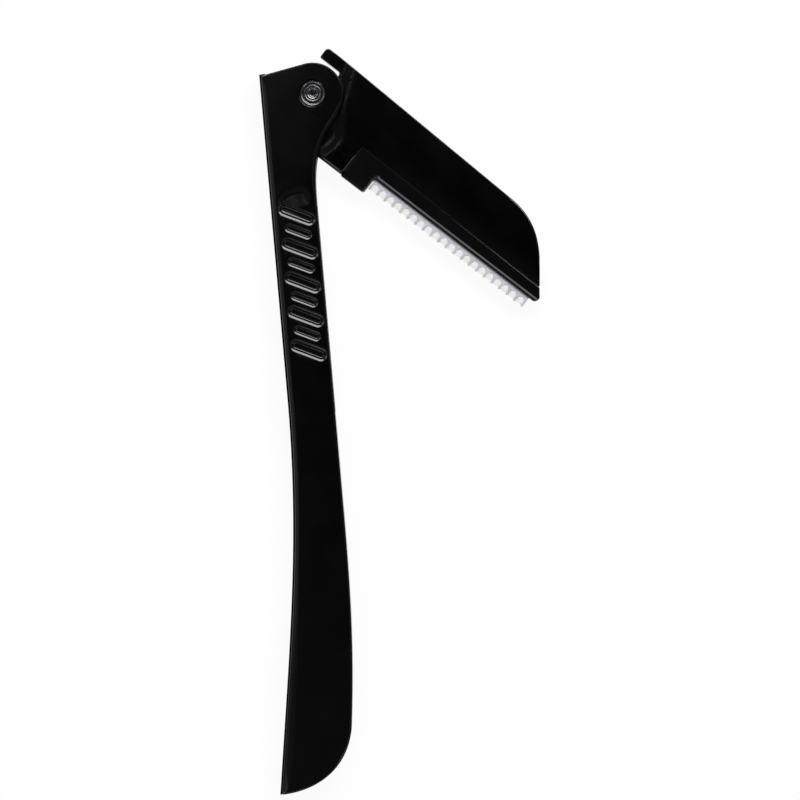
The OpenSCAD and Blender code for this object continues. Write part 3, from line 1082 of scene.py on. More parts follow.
    def front_shell(self) -> bpy.types.Object:
        """Builds the front shell with its counterbore and grip grooves.

        Returns:
            The piece.
        """
        skin = Skin()
        outline = self.outline(self.rim_w)
        rings = [skin.ring(outline.ring(depth), self.front_z + rise)
                 for depth, rise in self.foot_profile]
        butt = self.butt_corner(self.rim_w)
        spine_start = min(range(len(outline.points)),
                          key=lambda i: (outline.points[i] - butt).length)
        shapes = [self.edge_shape(p, i >= spine_start) for i, p in enumerate(outline.points)]
        shares, widths = (list(column) for column in zip(*shapes))
        shares[0] = 1  # The spine's upper corner has its profile too
        for (depth, drop), (spine_depth, spine_drop) in zip(self.edge_profile,
                                                            self.spine_profile):
            depths = [w * (depth * (1 - s) + spine_depth * s) for s, w in zip(shares, widths)]
            drops = [min(w, 1) * (drop * (1 - s) + spine_drop * s)
                     for s, w in zip(shares, widths)]
            rings.append(skin.rim(outline, depths, drops, self.top))
        skin.bands(rings)
        hole = [skin.ring(circle(radius), self.top if depth == 0 else self.top_z - depth)
                for radius, depth in self.bore(self.front_flare)]
        hole.append(skin.ring(circle(self.bore_r), self.front_z))
        skin.bands(hole)
        skin.cap(rings[0], hole[-1])
        grooves = [self.groove(skin, i) for i in range(self.groove_count)]
        face = skin.cap(rings[-1], hole[0], *grooves)
        # The face is cut into cells, which are finest along the dip
        columns = [x / 2 for x in range(-26, 9)]
        rows = [*range(-100, 4, 2), *(y / 4 for y in range(-68, -53))]
        skin.slice(face, cuts(RIGHT, *columns) + cuts(UP, *rows), self.top)
        return skin.finish("handle_front", self.placement)

    def inner_side(self) -> list[Vector]:
        """Draws the channel's side of the spine wall.

        Returns:
            Its points, from the wall's top down to the closing wall.
        """
        x = self.wall_t - self.back_reach
        reach = math.sqrt(self.sweep_r**2 - x * x)
        first, last = (math.degrees(math.atan2(side * reach, x)) % 360 for side in (1, -1))
        corner, touch = self.spine_corner(0), self.front_side(0)[0]
        top = corner.lerp(touch, (x - corner.x) / (touch.x - corner.x))
        relief = arc(PIVOT, self.sweep_r, first, last, steps=12)
        return [top] + relief + [Vector((x, -reach)), Vector((x, -self.channel_len))]

    def back_shell(self) -> bpy.types.Object:
        """Builds the back shell: its cheek, the spine wall with its rim and the closed butt.

        Returns:
            The piece.
        """
        skin = Skin()
        inner, front = self.inner_side(), self.front_side(0)
        parting = Vector((self.front_x, -self.channel_len))
        whole = Outline([self.spine_corner(0), inner[0]] + front + [parting] + self.belly(0)
                        + self.spine_side(0), self.back_corner_r, self.back_turn)
        rings = [skin.ring(whole.ring(depth), level) for depth, level in self.back_profile]
        base = skin.ring(whole.points, self.back_edge)
        skin.bands(rings)
        outer = Terraces(skin, whole.points, base)
        hole = [skin.ring(circle(radius), depth)
                for radius, depth in self.bore(self.back_flare) + [(self.bore_r, self.cheek_t)]]
        skin.bands(hole)
        skin.cap(rings[0], hole[0])
        outer.under(rings[-1], whole)
        rim_in = self.spine_side(self.rim_w - self.seat)
        rim_top = self.spine_corner(self.rim_w - self.seat)
        rim = self.spine_side(0) + [self.spine_corner(0), rim_top] + rim_in[::-1]
        floor = [inner[0]] + front + [parting] + inner[:0:-1]
        closed = ([parting] + self.belly(0) + [self.butt_corner(0)] + rim_in
                  + [rim_top, self.spine_corner(0)] + inner)
        outer.level(floor, self.cheek_t, hole[-1])
        outer.level(closed, self.front_z)
        outer.level(rim, self.front_z + self.rim_rise)
        outer.walls()
        return skin.finish("handle_back", self.placement)

    def build(self) -> None:
        """Builds and dresses both shells."""
        for piece, node in ((self.front_shell(), "handle_front_shell"),
                            (self.back_shell(), "handle_back_shell")):
            self.finishes.dress(piece, Finish.HANDLE, Body.HANDLE, node)


# The pivot

@dataclass
class Pivot:
    """The rivet and the washers under its ends. All sizes are in millimetres.

    A profile lists distances inwards from a radius, each with its distance from a face.
    """

    placement: Placement
    finishes: Finishes
    handle: Handle
    turn_steps: int = 96
    washer_r: float = 1.92
    washer_t: float = 0.2
    washer_ease: float = 0.03
    washer_profile: Profile = (
        (0, -0.03), (0.01, 0.01), (0.04, 0.045), (0.08, 0.065), (0.13, 0.078), (0.17, 0.08),
        (0.21, 0.076), (0.26, 0.06), (0.31, 0.035), (0.34, 0.015), (0.38, 0))
    sink: float = 0.1  # Depth of the rivet's ends below the outer faces
    shank_gap: float = 0.005  # Between the shank and the bore
    head_r: float = 1.75
    head_t: float = 0.35
    head_profile: Profile = ((0.14, 0), (0.05, 0.03), (0, 0.12))
    head_ease: float = 0.04
    shank_ease: float = 0.02
    roll_r: float = 1.28
    roll_ease: float = 0.03
    roll_profile: Profile = (
        (0, 0.12), (0.01, 0.07), (0.03, 0.035), (0.06, 0.013), (0.1, 0.001), (0.13, 0),
        (0.16, 0.001), (0.2, 0.013), (0.23, 0.03), (0.26, 0.04), (0.3, 0.045))
    dimple_r: float = 0.5
    dimple_depth: float = 1.1
    mouth_profile: Profile = (
        (-0.38, 0.044), (-0.33, 0.034), (-0.3, 0.031), (-0.28, 0.034), (-0.18, 0.0625),
        (-0.11, 0.095), (-0.05, 0.14), (-0.01, 0.2), (0, 0.26))
    floor_profile: Profile = ((0, 0.1), (0.04, 0.04), (0.12, 0.01), (0.38, 0))

    def lathe(self, name: str, profile: list[tuple[float, float]],
              bored: bool) -> bpy.types.Object:
        """Turns a profile about the pivot.

        Args:
            name: Name of the piece.
            profile: Radius and height of each ring.
            bored: True for a piece with a bore, and False for one that is solid at both ends.

        Returns:
            The piece.
        """
        skin = Skin()
        rings = [skin.ring(circle(radius, self.turn_steps), level) for radius, level in profile]
        skin.bands(rings)
        if bored:
            skin.wall(rings[-1], rings[0])
        else:
            skin.cap(rings[0])
            skin.cap(rings[-1])
        return skin.finish(name, self.placement)

    def rivet(self) -> bpy.types.Object:
        """Builds the rivet with its flat head at the back and its rolled end at the front.

        Returns:
            The piece.
        """
        top = self.handle.top_z - self.sink
        seat = self.handle.top_z - self.handle.counterbore_depth + self.washer_t
        shank, head_top = self.handle.bore_r - self.shank_gap, self.sink + self.head_t
        floor = top - self.dimple_depth
        head = [(self.head_r - inset, self.sink + rise) for inset, rise in self.head_profile]
        neck = [(self.head_r, head_top - self.head_ease),
                (self.head_r - self.head_ease, head_top),
                (shank + self.shank_ease, head_top), (shank, head_top + self.shank_ease),
                (shank, seat), (self.roll_r - self.roll_ease, seat),
                (self.roll_r, seat + self.roll_ease)]
        roll = [(self.roll_r - inset, top - drop) for inset, drop in self.roll_profile]
        mouth = [(self.dimple_r - inset, top - drop) for inset, drop in self.mouth_profile]
        dimple = [(self.dimple_r - inset, floor + rise) for inset, rise in self.floor_profile]
        return self.lathe("rivet", head + neck + roll + mouth + dimple, bored=False)

    def washer(self, name: str, low: float) -> bpy.types.Object:
        """Builds a washer with a raised round rim.

        Args:
            name: Name of the piece.
            low: Level on which it lies.

        Returns:
            The piece.
        """
        inner, outer, high = self.handle.bore_r, self.washer_r, low + self.washer_t
        rim = [(outer - inset, high + rise) for inset, rise in self.washer_profile]
        foot = [(inner, low), (outer - self.washer_ease, low), (outer, low + self.washer_ease)]
        mouth = [(inner + self.shank_ease, high), (inner, high - self.shank_ease)]
        return self.lathe(name, foot + rim + mouth, bored=True)

    def build(self) -> None:
        """Builds and dresses the pivot's pieces."""
        deep = self.handle.counterbore_depth
        for piece, node in (
                (self.rivet(), "pivot_rivet"),
                (self.washer("washer_front", self.handle.top_z - deep), "rivet_front_washer"),
                (self.washer("washer_back", deep - self.washer_t), "rivet_back_washer")):
            self.finishes.dress(piece, Finish.RIVET, Body.HANDLE, node)


# The head

@dataclass
class Head:
    """The two head shells. All sizes are in millimetres about the pivot.

    A profile lists distances inwards from an outline, each with its distance below the face.
    """

    placement: Placement
    finishes: Finishes
    length: float = 44
    tip_drop: float = 3.4
    tip_len: float = 5.9
    tip_heading: float = -52.4
    tip_arrive: float = -49.4  # Heading of the spine's curve as it reaches the tip
    tip_pull: float = 0.38
    spine_rise: float = 6.68
    spine_fall: float = 2.08  # Slope of the spine towards the tip, in degrees
    spine_len: float = 32
    face_half: float = 1.25
    tang_half: float = 1.06
    tail_reach: float = 2.45
    tail_rise: float = 4.9
    tail_r: float = 0.6
    tang_r: float = 4.1
    tang_turn: float = -115  # Place on the tang where its round starts, in degrees
    notch_turn: float = 70  # Place where it ends
    notch_heading: float = 100
    notch_pull: float = 0.7
    heel_len: float = 10.35
    heel_drop: float = 6.72
    heel_share: float = 0.61  # Of the heel's length, where its round starts
    heel_breaks: tuple[float, float] = (-3.3, -3.7)
    step_drop: float = 1.76
    step_fall: float = 0.75  # Slope of the step towards the tip, in degrees
    step_lead: float = 0.7
    corner_r: float = 0.18
    bore_r: float = 1.04
    crown: float = 0.18
    crown_span: tuple[float, float] = (5, 16)
    spine_crown: float = 0.4  # Share of the crown on the spine's side
    # Shares of the heel's length, and of the way up to the spine or down to the heel
    shoulder_shares: Profile = ((0.24, 1), (0.48, 0.09), (0.72, -0.48), (0.63, -1))
    shoulder_headings: tuple[float, ...] = (108, 118, 90, 65)
    ramp_w: float = 1.2
    foot_inset: float = 0.04
    foot_rise: float = 0.03
    edge_profile: Profile = ((0, 0.2), (0.02, 0.13), (0.06, 0.06), (0.12, 0.02), (0.2, 0),
                             (0.26, 0))
    # Shares of that profile along the heel, the spine and the seam, and where each runs
    heel_edge: float = 2.4
    heel_band: tuple[float, float] = (5, 0.02)
    spine_edge: float = 0.5
    spine_band: float = 0.05
    seam_edge: float = 0.2
    seam_band: tuple[float, float] = (-3.5, 0)
    catch_low: tuple[float, float] = (7.55, -6.12)
    catch_size: tuple[float, float] = (2.6, 2)
    catch_profile: Profile = ((-0.03, 0), (-0.01, 0.005), (0, 0.02), (0.01, 0.14), (0.02, 0.15),
                              (0.05, 0.15))

    def step_y(self, x: float) -> float:
        """Returns the height of the step at a length."""
        return -self.step_drop - (x - self.heel_len) * math.tan(math.radians(self.step_fall))

    def spine_y(self, x: float) -> float:
        """Returns the height of the spine at a length."""
        return self.spine_rise - x * math.tan(math.radians(self.spine_fall))

    @property
    def tip_corner(self) -> Vector:
        """The head's tip corner."""
        return Vector((self.length, -self.tip_drop))

    def tip_x(self, y: float) -> float:
        """Returns the slanted tip's place at a height."""
        return self.length + (y + self.tip_drop) / math.tan(math.radians(self.tip_heading))

    def step_tip(self) -> Vector:
        """Returns where the step meets the slanted tip."""
        x = self.tip_x(self.step_y(self.tip_x(-self.step_drop)))
        return Vector((x, self.step_y(x)))

    def outline(self) -> Outline:
        """Draws the outline that both halves of the head share.

        Returns:
            The outline, clockwise from the tail finger.
        """
        spine_end = Vector((self.spine_len, self.spine_y(self.spine_len)))
        tip_start = self.tip_corner - polar(self.tip_len, self.tip_heading)
        heel_left = Vector((self.heel_len * self.heel_share, -self.heel_drop))
        tang_low = polar(self.tang_r, self.tang_turn)
        notch_start = polar(self.tang_r, self.notch_turn)
        notch_top = Vector((0, self.tail_rise))
        tail_corner = Vector((self.tail_r - self.tail_reach, self.spine_rise - self.tail_r))
        lead = self.heel_len + self.step_lead
        heel = (self.step_y(self.heel_len), *self.heel_breaks, -self.heel_drop)
        return Outline(divide(
            arc(tail_corner, self.tail_r, 180, 90, steps=12)
            + [Vector((x, self.spine_y(x))) for x in range(0, int(self.spine_len), 2)]
            + bend(spine_end, -self.spine_fall, tip_start, self.tip_arrive, self.tip_pull,
                   steps=40)
            + [tip_start, self.step_tip(), Vector((lead, self.step_y(lead)))]
            + [Vector((self.heel_len, y)) for y in heel]
            + bend(heel_left, 180, tang_low, self.tang_turn - 90)
            + arc(PIVOT, self.tang_r, self.tang_turn, self.notch_turn - 360, steps=60)
            + bend(notch_start, self.notch_heading, notch_top, 180, self.notch_pull)
            + [notch_top, Vector((-self.tail_reach, self.tail_rise))], step=1), self.corner_r)

    @cached_property
    def shoulder(self) -> list[Vector]:
        """The line from spine to heel where the face reaches its full height."""
        spots = []
        for along, up in self.shoulder_shares:
            x = self.heel_len * along
            spots.append(Vector((x, up * (self.spine_y(x) if up > 0 else self.heel_drop))))
        line = []
        for i in (2, 1, 0):
            line += bend(spots[i + 1], self.shoulder_headings[i + 1], spots[i],
                         self.shoulder_headings[i], steps=12)
        return line + [spots[0]]

    def shoulder_gap(self, point: Vector) -> float:
        """Measures how far a point lies outside the shoulder.

        Args:
            point: A point in plan.

        Returns:
            The distance, which is below 0 on the face.
        """
        line = self.shoulder
        best = min(range(len(line)), key=lambda i: (line[i] - point).length_squared)
        first, last = line[max(best - 1, 0)], line[min(best + 1, len(line) - 1)]
        return (last - first).normalized().cross(point - line[best])

    def top(self, point: Vector) -> float:
        """Finds the outer face's height above the middle plane.

        Args:
            point: A point in plan.

        Returns:
            The height.
        """
        low, high = self.step_y(point.x), self.spine_y(point.x)
        across = min(max(2 * (point.y - low) / (high - low) - 1, -1), 1)
        crowned = self.crown * step_share(point.x, *self.crown_span) * across * across
        crowned *= 1 if across < 0 else self.spine_crown
        ramp = 1 - min(max(self.shoulder_gap(point) / self.ramp_w, 0), 1)
        return self.tang_half + (self.face_half - self.tang_half) * ramp - crowned * ramp

    def edge_share(self, point: Vector) -> float:
        """Finds the width of the edge's rounding as a share of its profile.

        Args:
            point: A corner of the outline.

        Returns:
            The share, which is small at the seam and great under the heel.
        """
        start, above = self.heel_band
        if point.x > start and point.y < above - self.heel_drop:
            return self.heel_edge
        if point.x < self.spine_len and point.y > self.tail_rise + self.spine_band:
            return self.spine_edge
        low, high = self.seam_band
        return self.seam_edge if point.x > self.heel_len - NEAR and low < point.y < high else 1

    def catch_ring(self, inset: float) -> list[Vector]:
        """Draws the rim of the catch recess.

        Args:
            inset: Distance inwards.

        Returns:
            Its points, clockwise.
        """
        x, y = self.catch_low
        w, h = self.catch_size
        box = Outline([Vector((x, y)), Vector((x, y + h)), Vector((x + w, y + h)),
                       Vector((x + w, y))])
        return box.ring(inset)

    def shell(self, name: str, side: int) -> bpy.types.Object:
        """Builds one half of the head.

        Args:
            name: Name of the piece.
            side: 1 for the front half and -1 for the back half.

        Returns:
            The piece.
        """
        skin = Skin()
        outline = self.outline()
        shares = [self.edge_share(p) for p in outline.points]
        rings = [skin.ring(outline.ring(self.foot_inset), 0),
                 skin.ring(outline.ring(), self.foot_rise)]
        for depth, drop in self.edge_profile:
            rings.append(skin.rim(outline, [depth * share for share in shares],
                                  [drop * share for share in shares], self.top))
        skin.bands(rings)
        bore = [skin.ring(circle(self.bore_r), level) for level in (0, self.tang_half)]
        skin.bands(bore)
        skin.cap(rings[0], bore[0])
        recess = skin.pit([(self.catch_ring(inset), drop) for inset, drop in self.catch_profile],
                          self.top)
        face = skin.cap(rings[-1], bore[1], recess)
        # The face is cut into cells, which are finest round the shoulder
        columns = [*(x / 2 for x in range(-6, 20)), *range(10, 44, 2)]
        rows = [y / 2 for y in range(-14, 14)]
        skin.slice(face, cuts(RIGHT, *columns) + cuts(UP, *rows), self.top)
        skin.turn_over(side)
        return skin.finish(name, self.placement)

    def build(self) -> None:
        """Builds and dresses both halves."""
        for name, side, node in (("head_front", 1, "head_front_shell"),
                                 ("head_back", -1, "head_back_shell")):
            self.finishes.dress(self.shell(name, side), Finish.HEAD, Body.HEAD, node)


# The cartridge

@dataclass
class Cartridge:
    """The blade carrier's halves, the blade and its guard. All sizes are in millimetres.

    A profile lists distances inwards from an outline, each with its distance below the face.
    """

    placement: Placement
    finishes: Finishes
    head: Head
    half: float = 0.95
    lip_drop: float = 4.33
    tab_len: float = 14.5
    tab_drop: float = 6.9
    tip_round: float = 0.6
    tip_turn: float = 20  # How much steeper than the tip its round starts, in degrees
    tab_round: float = 0.45
    corner_r: float = 0.1
    corner_turn: float = 40
    foot_inset: float = 0.03
    foot_rise: float = 0.03
    edge_profile: Profile = ((0, 0.1), (0.02, 0.05), (0.04, 0.03), (0.06, 0.015), (0.1, 0),
                             (0.14, 0))
    seam_profile: Profile = ((0.01, 0.05), (0.02, 0.025), (0.09, 0.02), (0.13, 0.002),
                             (0.17, 0), (0.22, 0))
    least_seam: float = 0.04
    # How much faster the lip's profile runs along the tab's side and floor
    side_thinning: float = 2.4
    floor_thinning: float = 1.9
    lip_profile: Profile = (
        (0, 0.44), (0.04, 0.36), (0.1, 0.31), (0.14, 0.28), (0.37, 0.132), (0.4, 0.117),
        (0.6, 0.026), (0.64, 0.01), (0.68, 0.005), (0.78, 0.005), (0.785, 0.07), (0.84, 0.07),
        (1.13, 0.07), (1.135, 0.04))
    round_cuts: tuple[float, ...] = (0.15, 0.3, 0.45)
    seat: float = 0.02  # Play between the pieces
    blade_t: float = 0.25
    blade_h: float = 3.4
    blade_inset: float = 0.1
    grind_h: float = 0.85
    grind_ease: float = 0.04
    grind_dip: float = 0.006
    cut_half: float = 0.01  # Half the thickness of the cutting edge
    guard_margin: float = 0.12
    guard_tip_margin: float = 1.22
    guard_t: float = 0.12
    guard_h: float = 2.1
    guard_drop: float = 5.97
    window_count: int = 20
    window_h: float = 1.24
    tooth_w: float = 0.28

    @property
    def guard_x(self) -> float:
        """Start of the guard."""
        return self.tab_len + self.guard_margin

    @property
    def guard_len(self) -> float:
        """Length of the guard."""
        return self.head.length - self.guard_tip_margin - self.guard_x

    @property
    def pitch(self) -> float:
        """Distance from one window of the guard to the next."""
        return (self.guard_len - self.tooth_w) / self.window_count

    @property
    def fold_r(self) -> float:
        """Outer radius of the guard's fold."""
        return self.blade_t / 2 + self.seat / 2 + self.guard_t

    @property
    def foot_y(self) -> float:
        """Height at which the guard's leaves run into its fold."""
        return self.fold_r - self.guard_drop

    @property
    def edge_y(self) -> float:
        """Height of the cutting edge."""
        return self.guard_t + self.seat / 2 - self.guard_drop

    def outline(self) -> Outline:
        """Draws the outline that both halves of the carrier share.

        Returns:
            The outline, clockwise from the step at the heel.
        """
        head, r = self.head, self.tab_round
        left = head.heel_len + self.seat
        drop = Vector((0, self.seat))
        lip_end = Vector((head.length - self.tip_round, -self.lip_drop))
        return Outline(divide(
            [Vector((left, head.step_y(left))) - drop, head.step_tip() - drop]
            + bend(head.tip_corner, head.tip_heading - self.tip_turn, lip_end, 180, steps=12)
            + [lip_end, Vector((self.tab_len + r, -self.lip_drop))]
            + arc(Vector((self.tab_len + r, -self.lip_drop - r)), r, 90, 180, steps=8)
            + arc(Vector((self.tab_len - r, r - self.tab_drop)), r, 0, -90, steps=8)
            + [Vector((self.tab_len - r, -self.tab_drop)), Vector((left, -self.tab_drop))],
            step=1), self.corner_r, self.corner_turn)

    def round_gap(self, ray: Vector, gap: float) -> float:
        """Measures a distance from a rounded corner, counted more towards the tab's side.

        Args:
            ray: The point as seen from the corner's middle.
            gap: Its distance from the corner, below 0 outside.

        Returns:
            The distance, which is 0 or more.
        """
        turn = (ray.x / ray.length)**2 if ray.length else 0
        return max(gap * (1 + (self.side_thinning - 1) * turn), 0)

    def lip_gap(self, point: Vector) -> float:
        """Measures how far a point lies from the lip, the tab's side and its floor.

        Args:
            point: A point in plan.

        Returns:
            The distance from the nearest of them.
        """
        r = self.tab_round
        if point.x > self.tab_len + r:
            return max(point.y + self.lip_drop, 0)
        if point.y > -self.lip_drop - r:
            ray = point - Vector((self.tab_len + r, -self.lip_drop - r))
            return self.round_gap(ray, ray.length - r)
        ray = point - Vector((self.tab_len - r, r - self.tab_drop))
        if ray.x > 0 and ray.y < 0:
            return self.round_gap(ray, r - ray.length)
        side, floor = self.tab_len - point.x, point.y + self.tab_drop
        return max(min(side * self.side_thinning, floor * self.floor_thinning), 0)

    def top(self, point: Vector) -> float:
        """Finds the carrier's outer face above the middle plane.

        Args:
            point: A point in plan.

        Returns:
            The height.
        """
        gap = self.lip_gap(point)
        spots = self.lip_profile
        for (low, fall), (high, next_fall) in zip(spots, spots[1:]):
            if gap < high:
                return self.half - fall - (next_fall - fall) * (gap - low) / (high - low)
        return self.half - spots[-1][1]

    def seam_share(self, point: Vector) -> float:
        """Finds how far the seam's edge is open.

        Args:
            point: A corner of the outline.

        Returns:
            The share of its profile, which is below 0 away from the seam.
        """
        head = self.head
        if abs(head.step_y(point.x) - self.seat - point.y) > NEAR:
            return -1
        return max((point.x - head.heel_len) / (head.length - head.heel_len), self.least_seam)

    def carrier(self, name: str, side: int) -> bpy.types.Object:
        """Builds one half of the carrier.

        Args:
            name: Name of the piece.
            side: 1 for the front half and -1 for the back half.

        Returns:
            The piece.
        """
        skin = Skin()
        outline = self.outline()
        rings = [skin.ring(outline.ring(self.foot_inset), 0),
                 skin.ring(outline.ring(), self.foot_rise)]
        shares = [self.seam_share(p) for p in outline.points]
        for plain, seam in zip(self.edge_profile, self.seam_profile):
            depths, drops = ([plain[k] if share < 0 else share * seam[k] for share in shares]
                             for k in (0, 1))
            rings.append(skin.rim(outline, depths, drops, self.top))
        skin.bands(rings)
        skin.cap(rings[0])
        face = skin.cap(rings[-1])
        gaps = [gap for gap, _ in self.lip_profile[2:]]
        skin.slice(face, cuts(UP, *(gap - self.lip_drop for gap in gaps))
                   + cuts(UP, *(gap / self.floor_thinning - self.tab_drop for gap in gaps))
                   + cuts(RIGHT, *(self.tab_len - gap / self.side_thinning for gap in gaps))
                   + cuts(RIGHT, *(self.tab_len + gap for gap in self.round_cuts)), self.top)
        skin.turn_over(side)
        return skin.finish(name, self.placement)

    def blade(self) -> bpy.types.Object:
        """Builds the ground blade strip.

        Returns:
            The piece.
        """
        skin = Skin()
        half, ease, dip, cut = self.blade_t / 2, self.grind_ease, self.grind_dip, self.cut_half
        edge, back = self.edge_y, self.edge_y + self.blade_h
        flat = edge + self.grind_h
        section = [(back, -half), (back, half), (flat + ease, half), (flat - ease, half - dip),
                   (edge, cut), (edge, -cut), (flat - ease, dip - half), (flat + ease, -half)]
        start = self.guard_x + self.blade_inset
        for corners in skin.draw_out(section, start,
                                     start + self.guard_len - 2 * self.blade_inset):
            skin.mesh.faces.new(corners)
        return skin.finish("blade", self.placement)

    def window(self, index: int) -> list[Vector]:
        """Draws one window's arch in the guard.

        Args:
            index: Number of the window, counted from the heel.

        Returns:
            Its points, from the left foot to the right foot.
        """
        r = (self.pitch - self.tooth_w) / 2
        centre = Vector((self.guard_x + self.tooth_w + r + index * self.pitch,
                         self.window_h - r - self.guard_drop))
        arch = arc(centre, r, 180, 0, steps=16) + [centre + RIGHT * r]
        return ([Vector((centre.x - r, self.foot_y))] + arch
                + [Vector((centre.x + r, self.foot_y))])

    def guard(self) -> bpy.types.Object:
        """Builds the guard: two windowed leaves joined by a folded tooth between windows.

        Returns:
            The piece.
        """
        skin = Skin()
        foot, root = self.foot_y, self.guard_h - self.guard_drop
        start, end = self.guard_x, self.guard_x + self.guard_len
        comb = [Vector(spot) for spot in ((start, foot), (start, root), (end, root), (end, foot))]
        for i in reversed(range(self.window_count)):
            comb += self.window(i)[::-1]
        inner = self.fold_r - self.guard_t
        for side in (1, -1):
            outer_ring = skin.ring(comb, side * self.fold_r)
            inner_ring = skin.ring(comb, side * inner)
            skin.wall(inner_ring, outer_ring)
            skin.cap(outer_ring)
            skin.cap(inner_ring)
        turns = [math.radians(angle) for angle in range(-90, 91, 15)]
        folds = [[(foot - radius * math.cos(turn), radius * math.sin(turn)) for turn in turns]
                 for radius in (self.fold_r, inner)]
        for i in range(self.window_count + 1):
            x = start + i * self.pitch
            for corners in skin.draw_out(folds[0] + folds[1][::-1], x, x + self.tooth_w):
                for k in range(len(turns) - 1):
                    skin.mesh.faces.new((corners[k], corners[k + 1], corners[-2 - k],
                                         corners[-1 - k]))
        skin.weld()
        inside = [f for f in skin.mesh.faces if all(abs(v.co.y - foot) < WELD for v in f.verts)]
        bmesh.ops.delete(skin.mesh, geom=inside, context="FACES_ONLY")
        return skin.finish("guard", self.placement)

    def build(self) -> None:
        """Builds and dresses the carrier, the blade and the guard."""
        for name, side, node in (("carrier_front", 1, "blade_carrier_front"),
                                 ("carrier_back", -1, "blade_carrier_back")):
            self.finishes.dress(self.carrier(name, side), Finish.CARRIER, Body.HEAD, node)
        self.finishes.dress(self.blade(), Finish.BLADE, Body.HEAD, "razor_blade")
        self.finishes.dress(self.guard(), Finish.GUARD, Body.HEAD, "guard_comb")


# The studio

@dataclass(frozen=True)
class Softbox:
    """A softbox that faces the razor.

    Attributes:
        name: Its name.
        place: Where it hangs, in metres.
        size: Its width and height in metres.
        power: Its power in watts.
    """

    name: str
    place: tuple[float, float, float]
    size: tuple[float, float]
    power: float

    def hang(self) -> None:
        """Hangs the softbox in the scene."""
        data = bpy.data.lights.new(self.name, "AREA")
        data.shape, data.energy = "RECTANGLE", self.power
        data.size, data.size_y = self.size
        lamp = bpy.data.objects.new(self.name, data)
        lamp.location = self.place
        lamp.rotation_mode = "QUATERNION"
        lamp.rotation_quaternion = (-Vector(self.place)).to_track_quat("-Z", "Y")
        bpy.context.scene.collection.objects.link(lamp)


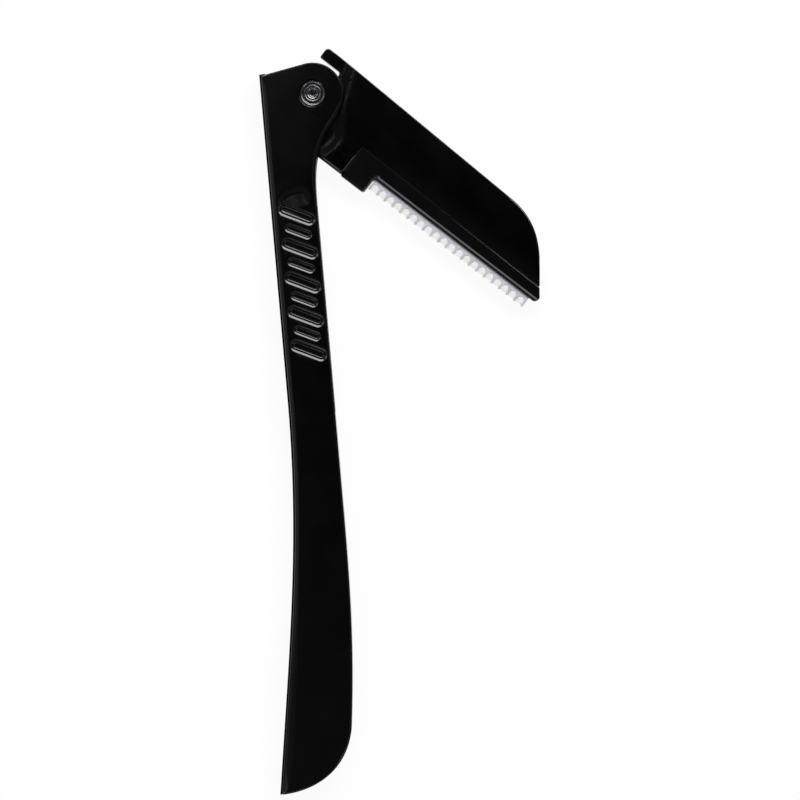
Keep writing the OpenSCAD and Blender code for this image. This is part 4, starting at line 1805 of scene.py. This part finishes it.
@dataclass
class Studio:
    """The camera, the floor and the light.

    Attributes:
        centre: The point under the camera in millimetres.
        field_w: Width of the picture at the razor in millimetres.
        subject_z: Height of the razor's middle in millimetres.
        distance: Distance of the camera from there in millimetres.
        sensor: Width of the camera's sensor in millimetres.
        clip: Nearest and farthest distance that the camera sees, in metres.
        floor_half: Half of the floor's width in metres.
        floor_gap: Distance of the floor below the razor in millimetres.
        floor_shade: Shade of the floor.
        floor_rough: Roughness of the floor.
        floor_glow: How far the floor shows and mirrors as even white.
        air: Colour of the surroundings.
        dark_axis: Direction in which they are darkest.
        sky: How far a direction leans to it, from 0 square to it up to 1, with the brightness.
        softboxes: The lamps.
    """

    centre: tuple[float, float] = (0.06, 3.09)
    field_w: float = 116
    subject_z: float = 2.6
    distance: float = 450
    sensor: float = 36
    clip: tuple[float, float] = (0.01, 10)
    floor_half: float = 2
    floor_gap: float = 0.02
    floor_shade: float = 0.9
    floor_rough: float = 0.9
    floor_glow: float = 0.93
    air: Colour = (0.94, 0.96, 1)
    dark_axis: tuple[float, float, float] = (0.02, 0.04, 1)
    sky: Profile = (
        (0, 0.7), (0.1, 0.1), (0.48, 0.1), (0.58, 0.4), (0.8, 0.4), (0.88, 0.1), (0.95, 0.09),
        (0.985, 0.07), (0.993, 0.04), (0.998, 0.003), (1, 0))
    softboxes: tuple[Softbox, ...] = (
        Softbox("key", (0.12, 0.46, 0.6), (0.75, 0.22), 5.5),
        Softbox("faint", (-0.078, 0.15, 0.6), (0.03, 0.05), 0.0065),
        Softbox("left", (-0.45, 0.28, 0.58), (0.22, 0.22), 0.4),
        Softbox("low_left", (-0.35, -0.46, 0.62), (0.3, 0.25), 0.65),
        Softbox("low", (0.05, -0.68, 0.57), (0.25, 0.2), 0.5),
        Softbox("low_right", (0.45, -0.38, 0.58), (0.2, 0.2), 0.8))

    def camera(self) -> None:
        """Sets the camera straight above the razor."""
        data = bpy.data.cameras.new("camera")
        data.sensor_width = self.sensor
        data.lens = self.sensor * self.distance / self.field_w
        data.clip_start, data.clip_end = self.clip
        camera = bpy.data.objects.new("camera", data)
        x, y = self.centre
        camera.location = Vector((x, y, self.subject_z + self.distance)) * MM
        bpy.context.scene.collection.objects.link(camera)
        bpy.context.scene.camera = camera

    def floor_finish(self) -> bpy.types.Material:
        """Makes the floor's material, which is clear from beneath.

        Returns:
            The material.
        """
        material = bpy.data.materials.new("floor")
        material.use_nodes = True
        nodes, links = material.node_tree.nodes, material.node_tree.links
        shader, out = nodes["Principled BSDF"], nodes["Material Output"]
        shader.inputs["Base Color"].default_value = (*[self.floor_shade] * 3, 1)
        shader.inputs["Roughness"].default_value = self.floor_rough
        glow, mix = nodes.new("ShaderNodeEmission"), nodes.new("ShaderNodeMixShader")
        path = nodes.new("ShaderNodeLightPath")
        seen, share = nodes.new("ShaderNodeMath"), nodes.new("ShaderNodeMath")
        seen.operation, share.operation = "MAXIMUM", "MULTIPLY"
        share.inputs[1].default_value = self.floor_glow
        links.new(path.outputs["Is Camera Ray"], seen.inputs[0])
        links.new(path.outputs["Is Glossy Ray"], seen.inputs[1])
        links.new(seen.outputs[0], share.inputs[0])
        links.new(share.outputs[0], mix.inputs["Fac"])
        links.new(shader.outputs["BSDF"], mix.inputs[1])
        links.new(glow.outputs["Emission"], mix.inputs[2])
        clear, sides = nodes.new("ShaderNodeBsdfTransparent"), nodes.new("ShaderNodeMixShader")
        back = nodes.new("ShaderNodeNewGeometry").outputs["Backfacing"]
        links.new(back, sides.inputs["Fac"])
        links.new(mix.outputs["Shader"], sides.inputs[1])
        links.new(clear.outputs["BSDF"], sides.inputs[2])
        links.new(sides.outputs["Shader"], out.inputs["Surface"])
        return material

    def floor(self) -> None:
        """Lays the pale floor, which shows only from above."""
        data = bpy.data.meshes.new("floor")
        half, low = self.floor_half, -self.floor_gap * MM
        data.from_pydata([(-half, -half, low), (half, -half, low), (half, half, low),
                          (-half, half, low)], [], [(0, 1, 2, 3)])
        floor = bpy.data.objects.new("floor", data)
        bpy.context.scene.collection.objects.link(floor)
        data.materials.append(self.floor_finish())

    def world(self) -> None:
        """Makes the surroundings: white to the camera, pale at the horizon and dark overhead."""
        world = bpy.data.worlds.new("studio")
        bpy.context.scene.world = world
        world.use_nodes = True
        nodes, links = world.node_tree.nodes, world.node_tree.links
        background = nodes["Background"]
        background.inputs["Color"].default_value = (*self.air, 1)
        place = nodes.new("ShaderNodeTexCoord").outputs["Generated"]
        overhead = nodes.new("ShaderNodeVectorMath")
        overhead.operation = "DOT_PRODUCT"
        overhead.inputs[1].default_value = Vector(self.dark_axis).normalized()
        links.new(place, overhead.inputs[0])
        ramp = nodes.new("ShaderNodeValToRGB")
        stops = ramp.color_ramp.elements
        stops[0].color, stops[-1].color = ((*[self.sky[i][1]] * 3, 1) for i in (0, -1))
        for spot, value in self.sky[1:-1]:
            stops.new(spot).color = (value, value, value, 1)
        links.new(overhead.outputs["Value"], ramp.inputs["Fac"])
        path = nodes.new("ShaderNodeLightPath")
        mix = nodes.new("ShaderNodeMix")
        mix.inputs["B"].default_value = 1
        links.new(path.outputs["Is Camera Ray"], mix.inputs["Factor"])
        links.new(ramp.outputs["Color"], mix.inputs["A"])
        links.new(mix.outputs["Result"], background.inputs["Strength"])

    def build(self) -> None:
        """Lays the floor and lights the studio."""
        self.floor()
        self.world()
        for softbox in self.softboxes:
            softbox.hang()
        bpy.context.scene.view_settings.view_transform = "Standard"


def main() -> None:
    """Builds the pieces in order."""
    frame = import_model()
    studio = Studio()
    studio.camera()
    hinge = next(joint for joint in frame["joints"] if joint["name"] == "head_fold")
    x, y, z = (value / MM for value in hinge["pos_m"])
    handle_place = Placement(Vector((x, y)), HANDLE_LEAN)
    head_place = Placement(Vector((x, y)), -HEAD_DROP, z)
    finishes = Finishes()
    handle = Handle(handle_place, finishes)
    handle.build()
    Pivot(handle_place, finishes, handle).build()
    head = Head(head_place, finishes)
    head.build()
    Cartridge(head_place, finishes, head).build()
    for name in ("friction_washer_front", "friction_washer_back"):
        node = frame["nodes"][name]
        node.data.materials.clear()
        node.data.materials.append(finishes.made[Finish.WASHER])
        log.info("%s: kept", name)
    studio.build()


if __name__ == "__main__":
    main()
